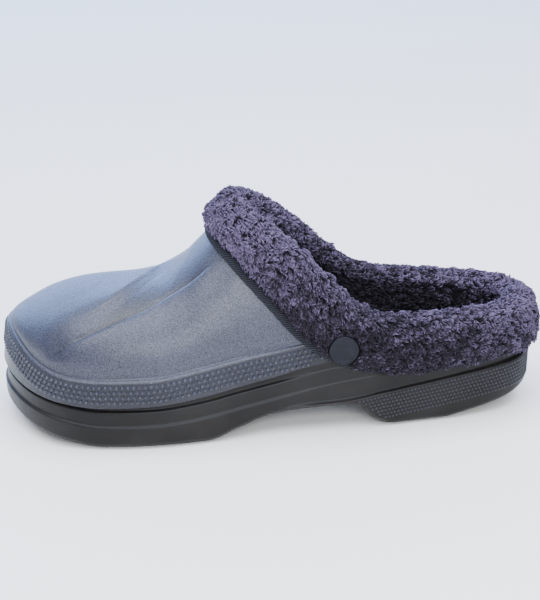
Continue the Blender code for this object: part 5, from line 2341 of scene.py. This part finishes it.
class Finishes:
    """Every material of the shoe."""

    def __init__(self) -> None:
        """Make the materials once."""
        self.foam = self._foam(Foam())
        self.fleece = self._fleece("fleece", Fleece())
        # The footbed pile's darker colours are painted shade inside the shoe.
        self.bed = self._fleece("fleece_bed", Fleece(rgb(14, 12, 17), rgb(30, 26, 35), rgb(50, 44, 58)))
        self.twill = self._twill(Twill())
        self.cap = self._cap(Cap())

    @staticmethod
    def _foam(look: Foam) -> bpy.types.Material:
        """Slate foam with a fine leather grain on the upper, and painted light and shade in its colour.

        Args:
            look: Its colours and gloss.

        Returns:
            The material.
        """
        g = Graph("slate_foam")
        upper = g.attribute("upper")
        clouds = g.noise(0.030, 4.0)
        fine = g.noise(0.0006, 2.0, 0.6)
        worn = clouds.between(0.30, 0.70)
        # Sole colour: painted shade. Skin colour: the painted lit upper with its grain.
        sole = g.mix(worn, look.sole, look.shaded_sole_worn)
        skin = g.mix(worn * 0.2 + fine.between(0.30, 0.70) * 0.8, look.upper, look.lit_upper_worn)
        fold = g.attribute("fold")
        # The upper mask mixes the lit skin over the shaded sole colour, painted light and painted shade;
        # fold darkens the creases as painted shade.
        colour = g.mix(upper * (1 - fold * 0.6), sole, skin)
        dots = g.noise(0.0030, 3.0, 0.8).between(0.735, 0.76)
        specks = dots * g.noise(0.02, 2.0).between(0.45, 0.65) * 0.55
        g.feed(g.shader.inputs["Base Color"], g.mix(specks, colour, look.scuff))
        gloss = fold * 0.14 + clouds * 0.10 + fine * 0.24 + (look.roughness - 0.17)
        g.feed(g.shader.inputs["Roughness"], gloss)
        grain = g.cells(look.grain)
        pores = g.noise(0.0005, 2.0, 0.6)
        height = (grain + pores * 0.7) * (upper * 0.85 + 0.15)
        shape = g.bump(g.noise(0.014, 2.0), 0.0004)
        g.feed(g.shader.inputs["Normal"], g.bump(height, look.grain_depth, shape))
        g.feed(g.shader.inputs["Coat Weight"], upper * (fine.between(0.3, 0.7) * 0.9 + 0.5) * look.coat)
        g.shader.inputs["Coat Roughness"].default_value = look.coat_roughness
        g.shader.inputs["IOR"].default_value = look.index
        return g.material

    @staticmethod
    def _fleece(name: str, look: Fleece) -> bpy.types.Material:
        """Pile that is darker at its roots and paler at its tips.

        Args:
            name: The material's name.
            look: Its colours and sheen.

        Returns:
            The material.
        """
        g = Graph(name)
        tip = g.attribute("tip")
        tone = g.attribute("tone")
        patches = g.noise(0.009, 3.0)
        fibre = g.noise(0.0007, 2.0, 0.7)
        share = tip.between(0.1, 0.95) * 0.9 - 0.12 + fibre * 0.25
        # The per-lock value carries random paleness and the pile's painted light and shade.
        share = share + (tone - 0.5) * 0.9 + (patches - 0.5) * 0.8
        lower = g.mix(share.between(0.0, 0.55), look.root, look.body)
        g.feed(g.shader.inputs["Base Color"], g.mix(share.between(0.5, 1.15), lower, look.tip))
        g.shader.inputs["Roughness"].default_value = look.roughness
        g.shader.inputs["Sheen Weight"].default_value = look.sheen
        g.shader.inputs["Specular IOR Level"].default_value = look.specular
        g.shader.inputs["Sheen Roughness"].default_value = look.sheen_roughness
        g.shader.inputs["Sheen Tint"].default_value = (*look.sheen_tint, 1.0)
        g.feed(g.shader.inputs["Normal"], g.bump(fibre, 0.0004))
        return g.material

    @staticmethod
    def _twill(look: Twill) -> bpy.types.Material:
        """Near-black tape with slanting ribs.

        Args:
            look: Its colours and ribs.

        Returns:
            The material.
        """
        g = Graph("black_twill")
        run = g.attribute("run")
        rise = g.attribute("rise")
        ribs = ((run + rise * look.slant) * (2 * math.pi / look.pitch)).sine().between(-0.9, 0.9)
        fray = g.noise(0.0006, 3.0, 0.7)
        colour = g.mix(ribs * 0.8 + fray * 0.3, look.dark, look.pale)
        g.feed(g.shader.inputs["Base Color"], colour)
        g.shader.inputs["Roughness"].default_value = look.roughness
        g.shader.inputs["Sheen Weight"].default_value = look.sheen
        g.shader.inputs["Specular IOR Level"].default_value = look.specular
        g.feed(g.shader.inputs["Normal"], g.bump(ribs + fray * 0.4, 0.0004))
        return g.material

    @staticmethod
    def _cap(look: Cap) -> bpy.types.Material:
        """Satin moulded cap with the faintest wear.

        Args:
            look: Its colours and gloss.

        Returns:
            The material.
        """
        g = Graph("slate_cap")
        wear = g.noise(0.004, 4.0, 0.6)
        colour = g.mix(wear.between(0.35, 0.7), look.dark, look.pale)
        g.feed(g.shader.inputs["Base Color"], colour)
        g.feed(g.shader.inputs["Roughness"], wear * 0.12 + look.roughness)
        g.shader.inputs["IOR"].default_value = look.index
        g.feed(g.shader.inputs["Normal"], g.bump(g.noise(0.0005, 2.0), 0.00003))
        return g.material


class Camera:
    """The photograph's view of the shoe."""

    AZIMUTH = -3.7
    ELEVATION = 21.0
    ROLL = -1.5
    DISTANCE = 0.761
    TARGET = (0.0002, -0.0007, 0.0589)
    FOCAL = 1414.0
    FRAME = 540.0
    SENSOR = 36.0

    def build(self) -> bpy.types.Object:
        """Stand the camera and make it the scene's.

        Returns:
            The camera's object.
        """
        azimuth = math.radians(self.AZIMUTH)
        rise = math.radians(self.ELEVATION)
        level = math.cos(rise)
        back = Vector((math.sin(azimuth) * level, -math.cos(azimuth) * level, math.sin(rise)))
        right = back.cross(Vector((0, 0, -1))).normalized()
        up = back.cross(right)
        roll = math.radians(self.ROLL)
        across = right * math.cos(roll) + up * math.sin(roll)
        over = up * math.cos(roll) - right * math.sin(roll)
        data = bpy.data.cameras.new("photo_camera")
        data.sensor_fit = "HORIZONTAL"
        data.sensor_width = self.SENSOR
        data.lens = self.FOCAL * self.SENSOR / self.FRAME
        data.clip_start = 0.05
        data.dof.use_dof = False
        camera = bpy.data.objects.new("photo_camera", data)
        turn = Matrix((across, over, back)).transposed().to_4x4()
        camera.matrix_world = Matrix.Translation(Vector(self.TARGET) + back * self.DISTANCE) @ turn
        bpy.context.scene.collection.objects.link(camera)
        bpy.context.scene.camera = camera
        return camera


@dataclass(frozen=True)
class Softbox:
    """A soft light: where it stands, what it looks at, its size, power and colour."""

    name: str
    place: tuple[float, float, float]
    aim: tuple[float, float, float]
    width: float
    height: float
    power: float
    colour: tuple[float, float, float]


SOFTBOXES = (
    Softbox("window", (-0.25, 1.60, 0.85), (-0.05, 0.0, 0.06), 2.8, 1.3, 72.0, (0.34, 0.52, 1.0)),
    Softbox("top", (0.0, -0.25, 1.50), (-0.03, 0.0, 0.05), 2.3, 1.8, 94.0, (0.81, 0.88, 1.0)),
    Softbox("front", (0.17, -1.22, 0.66), (-0.01, 0.0, 0.07), 1.0, 0.5, 21.0, (0.88, 0.94, 1.0)),
)


class Studio:
    """Pale floor, soft lights and the camera."""

    def build(self) -> None:
        """Set up everything around the shoe."""
        self._floor()
        for box in SOFTBOXES:
            self._light(box)
        self._sky()
        Camera().build()

    @staticmethod
    def _floor() -> None:
        """A wide pale floor under the sole."""
        bpy.ops.object.select_all(action="DESELECT")
        bpy.ops.mesh.primitive_plane_add(size=8.0, location=(0, 0, -0.0002))
        floor = bpy.context.object
        floor.name = "floor"
        g = Graph("pale_floor")
        g.feed(g.shader.inputs["Base Color"], g.mix(g.noise(0.25), rgb(247, 243, 236), rgb(250, 246, 240)))
        g.shader.inputs["Roughness"].default_value = 0.8
        floor.data.materials.append(g.material)

    @staticmethod
    def _light(box: Softbox) -> None:
        """One area light, unseen by the camera itself.

        Args:
            box: Its place, size and power.
        """
        data = bpy.data.lights.new(box.name, "AREA")
        data.shape = "RECTANGLE"
        data.size = box.width
        data.size_y = box.height
        data.energy = box.power
        data.color = box.colour
        light = bpy.data.objects.new(box.name, data)
        place = Vector(box.place)
        light.matrix_world = Matrix.Translation(place) @ (
            (place - Vector(box.aim)).to_track_quat("Z", "Y").to_matrix().to_4x4()
        )
        light.visible_camera = False
        bpy.context.scene.collection.objects.link(light)

    @staticmethod
    def _sky() -> None:
        """An even pale surrounding."""
        world = bpy.data.worlds.new("pale_room")
        world.use_nodes = True
        background = world.node_tree.nodes["Background"]
        background.inputs["Color"].default_value = (0.93, 0.96, 1.0, 1.0)
        background.inputs["Strength"].default_value = 0.35
        bpy.context.scene.world = world


class Stage(Enum):
    """How finely the fleece is drawn: stations round, and locks a field at most."""

    QUICK = (160, 3500)
    FULL = (300, 13000)

    def __init__(self, stations: int, locks: int) -> None:
        """Name a stage's two numbers."""
        self.stations = stations
        self.locks = locks


PILES = (
    Pile("fleece_flap", 12400, 0.0034, 0.00125, 11, 0.08, 0.25, 0.80),
    Pile("fleece_rim", 12400, 0.0034, 0.00125, 12, 0.23, 0.43, 0.70),
    Pile("fleece_crown", 11000, 0.0034, 0.00125, 14, 0.42, 0.66, 0.70),
    # The inside pile's lower value is painted shade.
    Pile("fleece_inside", 5400, 0.0036, 0.00140, 13, 0.65, 1.0, 0.70, -0.40),
)
BED_PILE = Pile("bed_pile", 3600, 0.0026, 0.0016, 21, 0.12, 1.0, 0.75, -0.1, "fleece_bed")


def covered_by(grid: Array, reach: float) -> Callable[[Array], Array]:
    """A test for places that lie under a closed surface of rings.

    Args:
        grid: Rows by stations by three.
        reach: How close counts as under it.

    Returns:
        A function from places to booleans.
    """
    tree = tree_of(grid)

    def test(spots: Array) -> Array:
        """Whether each place lies under the surface."""
        return np.array([tree.find_nearest(Vector(p))[3] < reach for p in spots])

    return test


def clear_of_rivets(roots: Array) -> Array:
    """Roots that lie outside the rivets' caps.

    Args:
        roots: Places of the locks' roots.

    Returns:
        True for each root that stays.
    """
    keep = np.ones(len(roots), bool)
    for place in RIVET_PLACES:
        gap = roots - np.array(place)
        near = np.hypot(gap[:, 0], gap[:, 2]) < RIVET_CLEAR
        keep &= ~(near & (np.abs(gap[:, 1]) < RIVET_AROUND))
    return keep


def report(piece: bpy.types.Object) -> None:
    """Log a finished piece."""
    log.info("%s: %d faces", piece.name, len(piece.data.polygons))


def main() -> None:
    """Build the looks."""
    logging.basicConfig(level=logging.INFO, format="%(message)s")
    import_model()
    stage = Stage.FULL
    finishes = Finishes()
    outline = Outline()
    shell = Shell(Ribs(outline, Density()))
    report(BodyPiece(shell, finishes.foam).build())
    report(TreadPiece(outline, finishes.foam).build())
    edge = CollarEdge(shell, stage.stations)
    cuff = CuffShape(edge)
    under_cuff = covered_by(cuff.grid, UNDER_FLEECE)
    for rows in PIMPLES:
        report(PimplePiece(shell, rows, finishes.foam).build(under_cuff))
    report(CuffBacking(cuff, finishes.fleece).build())
    report(TapePiece(edge, finishes.twill).build())
    locks_over = LockField(cuff.surface(BACKING_SHARE), finishes.fleece)
    for pile in PILES:
        drawn = replace(pile, count=min(pile.count, stage.locks))
        report(locks_over.build(drawn, clear_of_rivets))
    insole = InsolePiece(shell, finishes.bed)
    report(insole.build())
    drawn = replace(BED_PILE, count=min(BED_PILE.count, stage.locks))
    report(LockField(insole.grid[5:], finishes.bed).build(drawn))
    report(LiningPiece(shell, finishes.fleece).build())
    for node, place in zip(("rivet_outer", "rivet_inner"), RIVET_PLACES):
        report(RivetPiece(node, place, finishes.cap).build())
    Studio().build()


if __name__ == "__main__":
    main()
